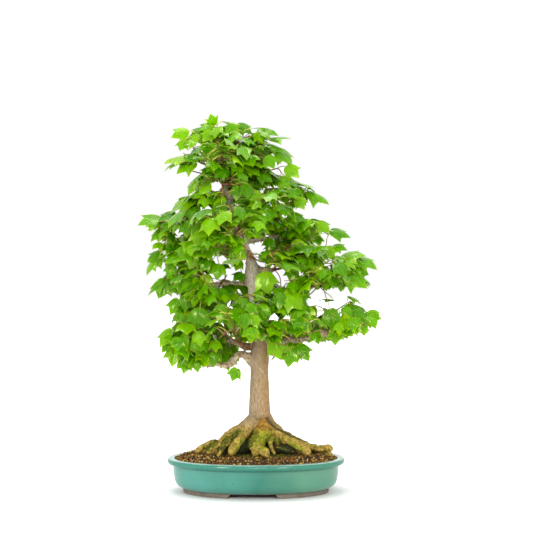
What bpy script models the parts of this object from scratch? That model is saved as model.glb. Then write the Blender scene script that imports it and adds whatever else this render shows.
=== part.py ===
"""Trident maple bonsai in an oval glazed pot.

The trunk leans a little to the left as it rises and stands on a spread of
surface roots. Boughs leave it on all sides, and each carries one or more
masses of foliage. Metres, +Z up, the ground at z = 0, the front toward -Y.
"""

import math
import random
from collections import namedtuple

import bmesh
import bpy
import numpy as np
from mathutils import Vector

# Driving dimensions, in metres
CLEARANCE = 0.0003
PLANT_SHIFT = (-0.0055, -0.0024, 0.0)

POT_LENGTH = 0.300
POT_WIDTH = 0.225
POT_TOP = 0.0585
POT_CORNER = 2.15
POT_SEGMENTS = 44
LIP_HEIGHT = 0.0105
LIP_OVERHANG = 0.0100
LIP_WIDTH = 0.0130
LIP_LAND = 0.0100
LIP_DIP = 0.0012
WALL_THICKNESS = 0.0065
FLOOR_THICKNESS = 0.0075
HEEL_INSET = 0.0270
# The outside of the wall from heel to lip: how far it lies inside the wall's
# widest line, and its height above the heel
WALL_SWEEP = ((0.0080, 0.0045), (0.0038, 0.0110), (0.0016, 0.0200))
# The lip's outer edge: inset from the rim, and height above the lip's underside
LIP_ROUND = ((0.0012, 0.0018), (0.0, 0.0048), (0.0012, 0.0087), (0.0036, 0.0105))
# The inside of the wall near the floor: inset from the wall, height above it
FLOOR_CURVE = ((0.0012, 0.0160), (0.0060, 0.0050))
FOOT_HEIGHT = 0.0075
FOOT_WIDTH = 0.0150
FOOT_TAPER = 0.0012
FOOT_STANDOUT = 0.0012
FOOT_GAP_TOP = 0.0740
FOOT_GAP_BOTTOM = 0.0860
FOOT_GAP_SHIFT = -0.0045
FOOT_SEGMENTS = 18

SOIL_RIM = 0.0570
SOIL_TOP = 0.0660
SOIL_SLOPE = 0.0120
SOIL_SHOULDER = (0.0054, 0.0025)
SOIL_GAP = 0.0008

TRUNK_SIDES = 12
TRUNK_STEPS = 2
ROOT_SIDES = 7
ROOT_RINGS = 6
ROOT_FALL = 0.038
ROOT_PROUD = 0.25
ROOT_TAPER = 0.7
ROOT_WANDER = 1.3
BOUGH_SIDES = 6
BOUGH_RINGS = 6
BOUGH_SWAY = 1.4
BOUGH_ARCH = (1.4, 0.8)
TIP_RINGS = 2
TIP_BLUNT = 0.6

TWIG_SIDES = 3
STEM_RADIUS = 0.0016
STEM_END = 0.00115
STEM_POINTS = 5
STEM_SHARE = 0.32
STEM_PAST_MIDDLE = 0.15
SEAT_AHEAD = 0.02
TWIG_RADIUS = 0.0010
TWIG_END = 0.0008
TIP_REACH = 0.72
TIP_SPACING = 0.0365
TIP_CANDIDATES = 60
SPREAD_RATIO = 1.22074408
WAY_BACK = 0.5
SPACE_MARGIN = 0.0006
LIMB_MARGIN = 0.0012
GROWTHS = 4

# A leaf's length, and the shares of it that its lobes and its dish take
LEAF_LENGTH = 0.052
LEAF_VARIES = (0.90, 1.08)
LEAF_THICKNESS = 0.0013
LEAF_HALF_WIDTH = 0.47
LEAF_WIDEST = 0.70
LEAF_MIDDLE = 0.56
LEAF_EDGE_DROP = 0.04
LEAF_CROWN = 0.02
LEAF_STANDOUT = 0.014
LEAF_ROLL = 0.3
LEAF_TRIES = 9
LEAF_SHRINK = 0.05
LEAVES_WANTED = 2
LEAF_NEAR = 1.6 * LEAF_LENGTH
ROOT_SKIP = 0.12

# Leaves stand in opposite pairs at a twig's end and turn to the light. Their
# heading mixes the twig's way, the mass's way out and the way off its middle.
PAIR_SPREADS = (math.radians(40), math.radians(112))
PAIR_STEP = 0.008
PAIR_LOOSE = 0.10
HEADING_MIX = (0.5, 0.5, 0.8)

# The droop of the leaves, from the crown's foot to its top
CROWN_LOW = 0.20
CROWN_HIGH = 0.62
DROOP_LOW = math.radians(48)
DROOP_HIGH = math.radians(20)
DROOP_VARIES = (-0.30, 0.25)

# The trunk's middle line: x, y, z and radius, from the soil to the tip
TRUNK_LINE = (
    (0.0060, 0.0000, 0.0600, 0.0260),
    (0.0060, 0.0000, 0.0900, 0.0235),
    (0.0060, 0.0000, 0.1150, 0.0200),
    (0.0060, 0.0000, 0.1370, 0.0179),
    (0.0057, 0.0005, 0.1700, 0.0162),
    (0.0060, 0.0010, 0.2100, 0.0155),
    (0.0070, 0.0010, 0.2450, 0.0154),
    (0.0050, 0.0030, 0.2750, 0.0120),
    (-0.0005, 0.0060, 0.3150, 0.0098),
    (-0.0065, 0.0060, 0.3550, 0.0100),
    (-0.0080, 0.0030, 0.3850, 0.0090),
    (-0.0165, -0.0010, 0.4140, 0.0066),
    (-0.0255, -0.0030, 0.4400, 0.0060),
    (-0.0370, -0.0020, 0.4700, 0.0056),
    (-0.0500, 0.0020, 0.5060, 0.0050),
    (-0.0585, 0.0030, 0.5350, 0.0040),
    (-0.0620, 0.0000, 0.5660, 0.0026),
)

# Surface roots: bearing in degrees from +X toward the back, length, the height
# where the root leaves the trunk, its radius there and at its end, and its bend
Root = namedtuple("Root", "bearing length height radius end bend")
ROOTS = (
    Root(-4, 0.118, 0.130, 0.0180, 0.0050, 0.06),
    Root(-34, 0.092, 0.120, 0.0155, 0.0065, -0.10),
    Root(-64, 0.070, 0.112, 0.0120, 0.0055, 0.25),
    Root(-92, 0.072, 0.118, 0.0145, 0.0080, -0.08),
    Root(-124, 0.076, 0.112, 0.0120, 0.0050, -0.15),
    Root(-158, 0.086, 0.120, 0.0155, 0.0055, 0.12),
    Root(177, 0.099, 0.130, 0.0180, 0.0050, -0.06),
    Root(144, 0.088, 0.120, 0.0155, 0.0050, 0.12),
    Root(106, 0.076, 0.118, 0.0145, 0.0055, -0.10),
    Root(66, 0.078, 0.116, 0.0135, 0.0055, 0.10),
    Root(30, 0.094, 0.120, 0.0155, 0.0050, -0.10),
)

# Boughs: bearing, reach from the trunk's line, the height where the bough
# leaves the trunk and where it ends, its radius there and at its end, how far
# it arches up on the way (down if less than zero) and how far it swings round
Bough = namedtuple("Bough", "name bearing reach height end_height radius end arch swing")
BOUGHS = (
    Bough("bough_low_left", 202, 0.070, 0.226, 0.214, 0.0074, 0.0042, 0.016, 0.006),
    Bough("bough_shoulder_left", 168, 0.074, 0.247, 0.262, 0.0056, 0.0034, -0.008, -0.008),
    Bough("bough_low_right", -6, 0.132, 0.254, 0.262, 0.0066, 0.0038, -0.006, 0.006),
    Bough("bough_front_low", 262, 0.070, 0.266, 0.288, 0.0052, 0.0034, -0.004, 0.006),
    Bough("bough_back_low", 84, 0.080, 0.258, 0.262, 0.0060, 0.0038, 0.006, -0.008),
    Bough("bough_back_left", 136, 0.088, 0.292, 0.306, 0.0048, 0.0034, 0.004, 0.008),
    Bough("bough_back_right", 48, 0.090, 0.302, 0.312, 0.0048, 0.0034, 0.004, -0.006),
    Bough("bough_mid_right", 6, 0.108, 0.320, 0.349, 0.0046, 0.0032, -0.008, 0.006),
    Bough("bough_mid_left", 184, 0.070, 0.350, 0.349, 0.0044, 0.0032, 0.003, 0.004),
    Bough("bough_stub_right", -12, 0.036, 0.378, 0.374, 0.0050, 0.0042, -0.002, 0.002),
    Bough("bough_right_high", 8, 0.076, 0.424, 0.438, 0.0042, 0.0032, -0.004, -0.004),
    Bough("bough_hanging_left", 206, 0.042, 0.436, 0.404, 0.0042, 0.0032, 0.006, 0.002),
    Bough("bough_front_high", 272, 0.052, 0.440, 0.446, 0.0040, 0.0032, 0.002, 0.004),
    Bough("bough_back_high", 86, 0.066, 0.446, 0.454, 0.0042, 0.0032, 0.004, 0.004),
    Bough("bough_left_high", 178, 0.062, 0.458, 0.456, 0.0042, 0.0032, 0.005, -0.004),
    Bough("bough_right_upper", -4, 0.070, 0.496, 0.500, 0.0038, 0.0030, 0.003, 0.004),
)

# Masses of foliage: what carries the mass (a bough, or a height on the trunk),
# its middle by bearing, reach and height, and its half length outward, half
# width and half height
Mass = namedtuple("Mass", "name carrier bearing reach height length width depth")
MASSES = (
    Mass("leaves_low_left", "bough_low_left", 190, 0.124, 0.262, 0.054, 0.064, 0.056),
    Mass("leaves_low_left_inner", "bough_shoulder_left", 150, 0.082, 0.250, 0.046, 0.052, 0.042),
    Mass("leaves_left_lower", "bough_shoulder_left", 180, 0.114, 0.316, 0.056, 0.054, 0.038),
    Mass("leaves_low_right", "bough_low_right", -2, 0.164, 0.290, 0.066, 0.062, 0.040),
    Mass("leaves_low_right_under", 0.232, -34, 0.066, 0.250, 0.046, 0.046, 0.032),
    Mass("leaves_front_low", "bough_front_low", 250, 0.116, 0.298, 0.050, 0.060, 0.040),
    Mass("leaves_front_right_low", "bough_front_low", 308, 0.098, 0.284, 0.050, 0.060, 0.040),
    Mass("leaves_front_right", 0.306, 316, 0.096, 0.336, 0.052, 0.054, 0.036),
    Mass("leaves_back_low", "bough_back_low", 94, 0.112, 0.264, 0.058, 0.066, 0.048),
    Mass("leaves_back_low_right", "bough_back_low", 50, 0.118, 0.264, 0.056, 0.058, 0.044),
    Mass("leaves_back_left_low", "bough_back_left", 136, 0.128, 0.278, 0.056, 0.060, 0.046),
    Mass("leaves_back_left", "bough_back_left", 140, 0.128, 0.352, 0.056, 0.060, 0.046),
    Mass("leaves_back_right", "bough_back_right", 42, 0.130, 0.340, 0.058, 0.062, 0.046),
    Mass("leaves_right", "bough_mid_right", 2, 0.156, 0.382, 0.064, 0.062, 0.044),
    Mass("leaves_right_front", "bough_mid_right", 326, 0.122, 0.358, 0.056, 0.056, 0.040),
    Mass("leaves_left", "bough_mid_left", 182, 0.130, 0.376, 0.058, 0.062, 0.056),
    Mass("leaves_left_inner", "bough_mid_left", 222, 0.104, 0.350, 0.048, 0.048, 0.042),
    Mass("leaves_front_right_mid", "bough_stub_right", 306, 0.080, 0.402, 0.048, 0.056, 0.036),
    Mass("leaves_right_high", "bough_right_high", 0, 0.120, 0.454, 0.064, 0.056, 0.038),
    Mass("leaves_right_middle", "bough_stub_right", -22, 0.108, 0.414, 0.060, 0.058, 0.038),
    Mass("leaves_back_right_high", "bough_right_high", 42, 0.108, 0.440, 0.058, 0.060, 0.046),
    Mass("leaves_left_middle", "bough_hanging_left", 216, 0.094, 0.416, 0.054, 0.056, 0.042),
    Mass("leaves_front_high", "bough_front_high", 264, 0.106, 0.458, 0.056, 0.062, 0.046),
    Mass("leaves_front_right_high", "bough_front_high", 318, 0.096, 0.484, 0.056, 0.056, 0.044),
    Mass("leaves_back_high", "bough_back_high", 92, 0.104, 0.460, 0.056, 0.062, 0.048),
    Mass("leaves_back_left_high", "bough_back_high", 138, 0.108, 0.446, 0.054, 0.058, 0.050),
    Mass("leaves_left_high", "bough_left_high", 182, 0.114, 0.464, 0.064, 0.060, 0.042),
    Mass("leaves_right_upper", "bough_right_upper", -2, 0.122, 0.500, 0.056, 0.056, 0.036),
    Mass("leaves_upper_left", 0.500, 190, 0.056, 0.510, 0.048, 0.056, 0.038),
    Mass("leaves_upper_front", 0.520, 278, 0.064, 0.528, 0.052, 0.062, 0.042),
    Mass("leaves_upper_back", 0.514, 78, 0.064, 0.528, 0.054, 0.062, 0.044),
    Mass("leaves_top_left", 0.534, 180, 0.054, 0.556, 0.046, 0.058, 0.036),
    Mass("leaves_top_right", 0.526, 0, 0.094, 0.548, 0.052, 0.060, 0.038),
    Mass("leaves_crown_left", 0.548, 180, 0.056, 0.596, 0.048, 0.056, 0.038),
    Mass("leaves_crown_right", 0.546, -2, 0.080, 0.594, 0.054, 0.056, 0.042),
    Mass("leaves_crown_front", 0.538, 282, 0.056, 0.580, 0.048, 0.058, 0.034),
    Mass("leaves_crown_back", 0.542, 80, 0.058, 0.584, 0.048, 0.058, 0.036),
    Mass("leaves_apex", "trunk_tip", 200, 0.010, 0.624, 0.054, 0.062, 0.044),
)

POT_GLAZE = (0.115, 0.430, 0.350)
POT_CLAY = (0.212, 0.171, 0.138)
SOIL_BROWN = (0.110, 0.055, 0.028)
BARK = (0.440, 0.340, 0.230)
BOUGH_BARK = (0.270, 0.200, 0.120)
LEAF_GREENS = ((0.080, 0.340, 0.010), (0.130, 0.420, 0.012), (0.055, 0.260, 0.012))


# Scene and materials

def clear_scene():
    """Remove every object that the file opened with."""
    for thing in list(bpy.data.objects):
        bpy.data.objects.remove(thing, do_unlink=True)


def surface(name, colour, roughness):
    """A Principled material of one colour."""
    material = bpy.data.materials.new(name)
    material.use_nodes = True
    shader = material.node_tree.nodes["Principled BSDF"]
    shader.inputs["Base Color"].default_value = (*colour, 1.0)
    shader.inputs["Roughness"].default_value = roughness
    shader.inputs["Metallic"].default_value = 0.0
    return material


def new_object(name, vertices, faces, material=None, parent=None, collection=None):
    """Make a mesh object from vertices and faces, in the plant's own frame."""
    mesh = bpy.data.meshes.new(name)
    mesh.from_pydata([tuple(v) for v in vertices], [], [tuple(f) for f in faces])
    mesh.update()
    thing = bpy.data.objects.new(name, mesh)
    (collection or bpy.context.scene.collection).objects.link(thing)
    if material:
        mesh.materials.append(material)
    thing.parent = parent
    return thing


# Curves and tubes

def smooth_path(points, steps):
    """Catmull-Rom curve through the points, with the given steps per span.

    Each point may carry a radius as its fourth number, and it is smoothed too.
    """
    points = np.asarray(points, dtype=float)
    ends = np.vstack([2 * points[0] - points[1], points, 2 * points[-1] - points[-2]])
    curve = []
    for i in range(1, len(ends) - 2):
        before, start, stop, after = ends[i - 1:i + 3]
        for t in np.arange(steps) / steps:
            curve.append(0.5 * (2 * start + (stop - before) * t
                                + (2 * before - 5 * start + 4 * stop - after) * t ** 2
                                + (3 * start - before - 3 * stop + after) * t ** 3))
    curve.append(points[-1])
    return np.array(curve)


def path_frames(points):
    """Two directions across the path at each point, carried along without twist."""
    tangents = np.gradient(points, axis=0)
    tangents /= np.linalg.norm(tangents, axis=1)[:, None]
    side = Vector(tangents[0]).orthogonal().normalized()
    sides = [np.array(side)]
    for earlier, later in zip(tangents[:-1], tangents[1:]):
        turn = Vector(earlier).rotation_difference(Vector(later))
        side = (turn @ side).normalized()
        sides.append(np.array(side))
    sides = np.array(sides)
    return sides, np.cross(tangents, sides)


def tube(points, radii, sides):
    """Vertices and faces of a closed tube along the points, its ends flat."""
    points = np.asarray(points, dtype=float)
    across, over = path_frames(points)
    turns = np.arange(sides) * 2 * math.pi / sides
    vertices = []
    for centre, radius, a, b in zip(points, radii, across, over):
        for turn in turns:
            vertices.append(centre + radius * (math.cos(turn) * a + math.sin(turn) * b))
    faces = [tuple(reversed(range(sides)))]
    for ring in range(len(points) - 1):
        first = ring * sides
        for k in range(sides):
            following = (k + 1) % sides
            faces.append((first + k, first + following,
                          first + sides + following, first + sides + k))
    last = (len(points) - 1) * sides
    faces.append(tuple(range(last, last + sides)))
    return vertices, faces


def round_off(points, radii):
    """Add shrinking rings so that the tube ends in a round knuckle."""
    points = np.asarray(points, dtype=float)
    ahead = points[-1] - points[-2]
    ahead /= np.linalg.norm(ahead)
    new_points = list(points)
    new_radii = list(radii)
    for step in range(1, TIP_RINGS + 1):
        angle = step / (TIP_RINGS + TIP_BLUNT) * math.pi / 2
        new_points.append(points[-1] + ahead * radii[-1] * math.sin(angle))
        new_radii.append(radii[-1] * math.cos(angle))
    return np.array(new_points), np.array(new_radii)


# The pot, its feet and the soil

def oval_ring(inset, height, length=POT_LENGTH, width=POT_WIDTH):
    """One ring of the oval, a superellipse drawn in from the rim by the inset."""
    ring = []
    for k in range(POT_SEGMENTS):
        angle = 2 * math.pi * (k + 0.5) / POT_SEGMENTS
        c = math.cos(angle)
        s = math.sin(angle)
        x = math.copysign(abs(c) ** (2 / POT_CORNER), c) * (length / 2 - inset)
        y = math.copysign(abs(s) ** (2 / POT_CORNER), s) * (width / 2 - inset)
        ring.append((x, y, height))
    return ring


def lathe_oval(profile):
    """Closed solid through oval rings: the profile gives inset and height."""
    vertices = []
    for inset, height in profile:
        vertices.extend(oval_ring(inset, height))
    count = POT_SEGMENTS
    faces = [tuple(reversed(range(count)))]
    for ring in range(len(profile) - 1):
        first = ring * count
        for k in range(count):
            following = (k + 1) % count
            faces.append((first + k, first + following,
                          first + count + following, first + count + k))
    last = (len(profile) - 1) * count
    faces.append(tuple(range(last, last + count)))
    return vertices, faces


def pot_outside():
    """Outer profile from the heel to the lip's top: inset and height."""
    lip_under = POT_TOP - LIP_HEIGHT
    profile = [(HEEL_INSET, FOOT_HEIGHT)]
    profile += [(LIP_OVERHANG + inset, FOOT_HEIGHT + rise) for inset, rise in WALL_SWEEP]
    profile.append((LIP_OVERHANG, lip_under - LIP_DIP))
    profile.append((LIP_OVERHANG * 0.6, lip_under))
    profile += [(inset, lip_under + rise) for inset, rise in LIP_ROUND]
    return profile


def pot_inside(gap=0.0):
    """Inner profile from the lip down to the floor, drawn in by the gap."""
    wall = LIP_OVERHANG + WALL_THICKNESS
    floor = FOOT_HEIGHT + FLOOR_THICKNESS
    profile = [(LIP_WIDTH + gap, POT_TOP - LIP_DIP + gap), (wall + gap, POT_TOP - LIP_HEIGHT)]
    profile += [(wall + inset + gap, floor + rise + gap) for inset, rise in FLOOR_CURVE]
    profile.append((HEEL_INSET + FLOOR_CURVE[-1][0] + gap, floor + gap))
    return profile


def make_pot(parent):
    """The glazed pot: its outside, the flat of its lip, then its inside."""
    profile = pot_outside()
    profile.append((LIP_LAND, POT_TOP))
    profile.extend(pot_inside())
    vertices, faces = lathe_oval(profile)
    glaze = surface("glazed_stoneware", POT_GLAZE, 0.18)
    return new_object("pot", vertices, faces, glaze, parent)


def make_soil(parent):
    """Filling of the pot, heaped above the lip to a flat top under the roots."""
    inside = pot_inside(CLEARANCE)
    rising = list(reversed(inside[1:]))
    rim_inset = LIP_WIDTH + CLEARANCE + SOIL_GAP
    shoulder, shoulder_drop = SOIL_SHOULDER
    profile = rising
    profile.append((rim_inset, SOIL_RIM))
    profile.append((rim_inset + shoulder, SOIL_TOP - shoulder_drop))
    profile.append((rim_inset + SOIL_SLOPE, SOIL_TOP))
    vertices, faces = lathe_oval(profile)
    earth = surface("granular_soil", SOIL_BROWN, 0.95)
    return new_object("soil", vertices, faces, earth, parent)


def make_foot(name, side, parent):
    """One curved foot: half of an oval ring, its slanted ends at front and back.

    The outline's corners are the outer and inner top, then the inner and outer
    bottom, each with its own inset from the pot's heel and its own end gap.
    """
    half_length = POT_LENGTH / 2 - HEEL_INSET + FOOT_STANDOUT
    half_width = POT_WIDTH / 2 - HEEL_INSET + FOOT_STANDOUT
    top = FOOT_HEIGHT - CLEARANCE
    outline = (
        (0.0, top, FOOT_GAP_TOP),
        (FOOT_WIDTH, top, FOOT_GAP_TOP),
        (FOOT_WIDTH - FOOT_TAPER, 0.0, FOOT_GAP_BOTTOM),
        (FOOT_TAPER, 0.0, FOOT_GAP_BOTTOM),
    )
    vertices = []
    for k in range(FOOT_SEGMENTS + 1):
        for inset, height, gap in outline:
            end = gap / 2 + side * FOOT_GAP_SHIFT
            reach = math.acos(end / (half_length - inset))
            angle = reach * (2 * k / FOOT_SEGMENTS - 1)
            x = side * (half_length - inset) * math.cos(angle)
            y = side * (half_width - inset) * math.sin(angle)
            vertices.append((x, y, height))
    faces = [(0, 1, 2, 3)]
    for k in range(FOOT_SEGMENTS):
        first = 4 * k
        for j in range(4):
            following = (j + 1) % 4
            faces.append((first + j, first + 4 + j, first + 4 + following, first + following))
    last = 4 * FOOT_SEGMENTS
    faces.append((last + 3, last + 2, last + 1, last))
    clay = surface(name + "_clay", POT_CLAY, 0.8)
    return new_object(name, vertices, faces, clay, parent)


# The trunk, its roots and the boughs

TRUNK_PATH = smooth_path(TRUNK_LINE, TRUNK_STEPS)


def trunk_at(height):
    """The trunk's middle and radius at a height."""
    row = [np.interp(height, TRUNK_PATH[:, 2], TRUNK_PATH[:, column]) for column in (0, 1, 3)]
    return np.array([row[0], row[1], height]), row[2]


def trunk_tube(extra=0.0):
    """The trunk's tube, its radius made larger by extra."""
    points, radii = round_off(TRUNK_PATH[:, :3], TRUNK_PATH[:, 3] + extra)
    return tube(points, radii, TRUNK_SIDES)


def bearing_vector(degrees):
    """Level direction for a bearing."""
    return np.array([math.cos(math.radians(degrees)), math.sin(math.radians(degrees)), 0.0])


def root_path(root):
    """A root's middle line and radii: it falls steeply, then runs on the soil."""
    start, _ = trunk_at(root.height)
    out = bearing_vector(root.bearing)
    side = np.array([-out[1], out[0], 0.0])
    along = np.linspace(0.0, 1.0, ROOT_RINGS)
    radii = root.radius + (root.end - root.radius) * along ** ROOT_TAPER
    rest = SOIL_TOP + ROOT_PROUD * radii
    fall = np.exp(-along * root.length / ROOT_FALL)
    heights = rest + (root.height - rest[0]) * fall
    wander = root.bend * root.length * np.sin(along * math.pi * ROOT_WANDER) * along
    points = start + np.outer(along * root.length, out) + np.outer(wander, side)
    points[:, 2] = heights
    return points, radii


def bough_path(bough):
    """A bough's middle line: from the trunk's line out to its end, with its arch."""
    start, _ = trunk_at(bough.height)
    out = bearing_vector(bough.bearing)
    side = np.array([-out[1], out[0], 0.0])
    along = np.linspace(0.0, 1.0, BOUGH_RINGS)
    rise = bough.end_height - bough.height
    points = start + np.outer(along * bough.reach, out)
    points += np.outer(bough.swing * np.sin(along * math.pi * BOUGH_SWAY), side)
    swell = BOUGH_ARCH[0] - BOUGH_ARCH[1] * along
    points[:, 2] += rise * along + bough.arch * np.sin(along * math.pi) * swell
    radii = bough.radius + (bough.end - bough.radius) * along
    return points, radii


def end_of(bough):
    """A bough's end: its middle, its radius and the way it points."""
    points, radii = bough_path(bough)
    return points[-1], radii[-1], points[-1] - points[-2]


def combine(target, collection, operation="UNION"):
    """Join or cut the target by every object of the collection, and apply it."""
    joiner = target.modifiers.new("combine", "BOOLEAN")
    joiner.operation = operation
    joiner.operand_type = "COLLECTION"
    joiner.collection = collection
    joiner.solver = "EXACT"
    graph = bpy.context.evaluated_depsgraph_get()
    result = bpy.data.meshes.new_from_object(target.evaluated_get(graph))
    target.modifiers.remove(joiner)
    old = target.data
    target.data = result
    bpy.data.meshes.remove(old)
    for thing in list(collection.objects):
        bpy.data.objects.remove(thing, do_unlink=True)
    bpy.data.collections.remove(collection)


def keep_largest(thing):
    """Keep the biggest closed body of a mesh: scraps and sealed hollows go."""
    shape = bmesh.new()
    shape.from_mesh(thing.data)
    bmesh.ops.remove_doubles(shape, verts=shape.verts, dist=0.000002)
    bmesh.ops.triangulate(shape, faces=shape.faces)
    unseen = set(shape.faces)
    bodies = []
    while unseen:
        body = set()
        front = [next(iter(unseen))]
        while front:
            face = front.pop()
            if face in body:
                continue
            body.add(face)
            for edge in face.edges:
                if len(edge.link_faces) == 2:
                    front.extend(f for f in edge.link_faces if f not in body)
        unseen -= body
        corners = [[v.co for v in face.verts] for face in body]
        bodies.append((sum(a.dot(b.cross(c)) for a, b, c in corners) / 6, body))
    bodies.sort(key=lambda entry: entry[0])
    loose = [face for _, body in bodies[:-1] for face in body]
    bmesh.ops.delete(shape, geom=loose, context="FACES")
    shape.to_mesh(thing.data)
    shape.free()
    thing.data.update()


def is_whole(thing):
    """Whether every edge of the mesh has just two faces."""
    shape = bmesh.new()
    shape.from_mesh(thing.data)
    whole = all(len(edge.link_faces) == 2 for edge in shape.edges)
    shape.free()
    return whole


def gathering(name):
    """A collection of its own for pieces that are to be joined."""
    group = bpy.data.collections.new(name)
    bpy.context.scene.collection.children.link(group)
    return group


def make_trunk(parent):
    """Trunk and surface roots in one solid, cut flat at the soil's top."""
    vertices, faces = trunk_tube()
    bark = surface("trunk_bark", BARK, 0.85)
    trunk = new_object("trunk", vertices, faces, bark, parent)
    spread = gathering("roots")
    for number, root in enumerate(ROOTS):
        points, radii = round_off(*root_path(root))
        new_object(f"root_{number}", *tube(points, radii, ROOT_SIDES), parent=parent,
                   collection=spread)
    combine(trunk, spread)
    below = gathering("below")
    size = POT_LENGTH
    top = SOIL_TOP + CLEARANCE
    corners = [(x, y, z) for z in (top - size, top) for y in (-size, size) for x in (-size, size)]
    box_faces = [(0, 2, 3, 1), (4, 5, 7, 6), (0, 1, 5, 4), (2, 6, 7, 3), (0, 4, 6, 2), (1, 3, 7, 5)]
    new_object("ground_cut", corners, box_faces, parent=parent, collection=below)
    combine(trunk, below, operation="DIFFERENCE")
    keep_largest(trunk)
    return trunk


def make_bough(bough, parent, material):
    """One tapering bough, cut to the trunk's outside with a hair of clearance."""
    points, radii = round_off(*bough_path(bough))
    limb = new_object(bough.name, *tube(points, radii, BOUGH_SIDES), material, parent)
    collar = gathering("collar")
    grown = CLEARANCE / math.cos(math.pi / TRUNK_SIDES)
    new_object("collar_cut", *trunk_tube(grown), parent=parent, collection=collar)
    combine(limb, collar, operation="DIFFERENCE")
    keep_largest(limb)
    return limb


# Foliage: the spaces of the masses, and what must be kept clear

class Space:
    """The room that one mass keeps to: an ellipsoid cut by flat walls."""

    def __init__(self, mass):
        self.mass = mass
        foot, _ = trunk_at(min(mass.height, TRUNK_LINE[-1][2]))
        self.out = bearing_vector(mass.bearing)
        side = np.array([-self.out[1], self.out[0], 0.0])
        up = np.array([0.0, 0.0, 1.0])
        self.axes = np.array([self.out, side, up])
        self.radii = np.array([mass.length, mass.width, mass.depth])
        self.centre = foot + self.out * mass.reach
        self.centre[2] = mass.height
        self.walls = []

    def reach_toward(self, direction):
        """How far the ellipsoid stands out in a direction."""
        return np.linalg.norm(self.radii * (self.axes @ direction))

    def part_from(self, other):
        """Put a wall between this space and another, by how far each reaches."""
        gap = other.centre - self.centre
        distance = np.linalg.norm(gap)
        normal = gap / distance
        mine = self.reach_toward(normal)
        theirs = other.reach_toward(normal)
        place = self.centre + normal * distance * mine / (mine + theirs)
        self.walls.append((normal, normal @ place - SPACE_MARGIN))

    def holds(self, points, standout=0.0):
        """Whether all the points are inside, or stand out of the ellipsoid a little."""
        local = ((points - self.centre) @ self.axes.T) / (self.radii + standout)
        if np.any(np.sum(local ** 2, axis=1) > 1.0):
            return False
        return all(np.all(points @ normal <= limit) for normal, limit in self.walls)


def segment_gaps(p, q, a, b):
    """Shortest distance between each segment p-q and each segment a-b."""
    p = p[:, None, :]
    q = q[:, None, :]
    first = q - p
    second = (b - a)[None, :, :]
    offset = p - a[None, :, :]
    aa = np.sum(first * first, axis=2) + 1e-12
    ee = np.sum(second * second, axis=2) + 1e-12
    bb = np.sum(first * second, axis=2)
    cc = np.sum(first * offset, axis=2)
    ff = np.sum(second * offset, axis=2)
    s = np.clip((bb * ff - cc * ee) / (aa * ee - bb * bb + 1e-15), 0.0, 1.0)
    t = np.clip((bb * s + ff) / ee, 0.0, 1.0)
    s = np.clip((bb * t - cc) / aa, 0.0, 1.0)
    nearest = (p + s[..., None] * first) - (a[None] + t[..., None] * second)
    return np.linalg.norm(nearest, axis=2)


def pierced(starts, ends, corners):
    """Whether any straight line from a start to its end passes through a blade.

    The blade is taken as its two flat halves, base-side-tip on either hand.
    """
    ways = ends - starts
    for half in (corners[[0, 1, 2]], corners[[0, 2, 3]]):
        edge_1 = half[1] - half[0]
        edge_2 = half[2] - half[0]
        h = np.cross(ways, edge_2)
        det = h @ edge_1
        det = np.where(np.abs(det) < 1e-15, 1e-15, det)
        offset = starts - half[0]
        u = np.sum(offset * h, axis=1) / det
        k = np.cross(offset, edge_1)
        v = np.sum(ways * k, axis=1) / det
        t = (k @ edge_2) / det
        if np.any((u >= 0) & (v >= 0) & (u + v <= 1) & (t >= 0) & (t <= 1)):
            return True
    return False


class Limbs:
    """Every limb as a chain of short round rods, each with its owner's name."""

    def __init__(self):
        self.starts = np.zeros((0, 3))
        self.ends = np.zeros((0, 3))
        self.radii = np.zeros(0)
        self.owners = np.array([], dtype=object)

    def add(self, owner, points, radii):
        """Take in a limb by its middle line and its radii."""
        points = np.asarray(points)
        self.starts = np.vstack([self.starts, points[:-1]])
        self.ends = np.vstack([self.ends, points[1:]])
        self.radii = np.concatenate([self.radii, np.maximum(radii[:-1], radii[1:])])
        self.owners = np.concatenate([self.owners, [owner] * (len(points) - 1)])

    def gap(self, p, q, but=()):
        """Least clearance between rods p-q and the limbs, but for some owners."""
        keep = ~np.isin(self.owners, list(but))
        gaps = segment_gaps(np.asarray(p), np.asarray(q), self.starts[keep], self.ends[keep])
        return np.min(gaps - self.radii[keep][None, :])

    def pierce(self, corners, but=()):
        """Whether a limb's middle line passes through a leaf's blade."""
        keep = ~np.isin(self.owners, list(but))
        return pierced(self.starts[keep], self.ends[keep], corners)


def seat_of(space):
    """Where a mass's stem starts, and which way it leaves."""
    carrier = space.mass.carrier
    if carrier == "trunk_tip":
        tip = TRUNK_PATH[-1]
        way = space.centre - tip[:3]
        way /= np.linalg.norm(way)
        return tip[:3] + way * (tip[3] + CLEARANCE), way
    if isinstance(carrier, str):
        bough = next(b for b in BOUGHS if b.name == carrier)
        tip, radius, ahead = end_of(bough)
        way = space.centre - tip
        way = way / np.linalg.norm(way) + SEAT_AHEAD * ahead / np.linalg.norm(ahead)
        way /= np.linalg.norm(way)
        return tip + way * (radius + CLEARANCE), way
    middle, radius = trunk_at(carrier)
    below, _ = trunk_at(carrier - 0.01)
    rise = (middle - below) / np.linalg.norm(middle - below)
    way = space.centre - middle
    way -= rise * (way @ rise)
    way /= np.linalg.norm(way)
    return middle + way * (radius + CLEARANCE), way


def stem_path(space):
    """The stem: a curve that leaves its seat squarely and ends past the middle."""
    seat, way = seat_of(space)
    goal = space.centre + space.out * space.mass.length * STEM_PAST_MIDDLE
    pull = seat + way * np.linalg.norm(goal - seat) * STEM_SHARE
    points = []
    for t in np.linspace(0.0, 1.0, STEM_POINTS):
        points.append((1 - t) ** 2 * seat + 2 * t * (1 - t) * pull + t ** 2 * goal)
    return np.array(points)


# Foliage: twigs and leaves

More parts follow.
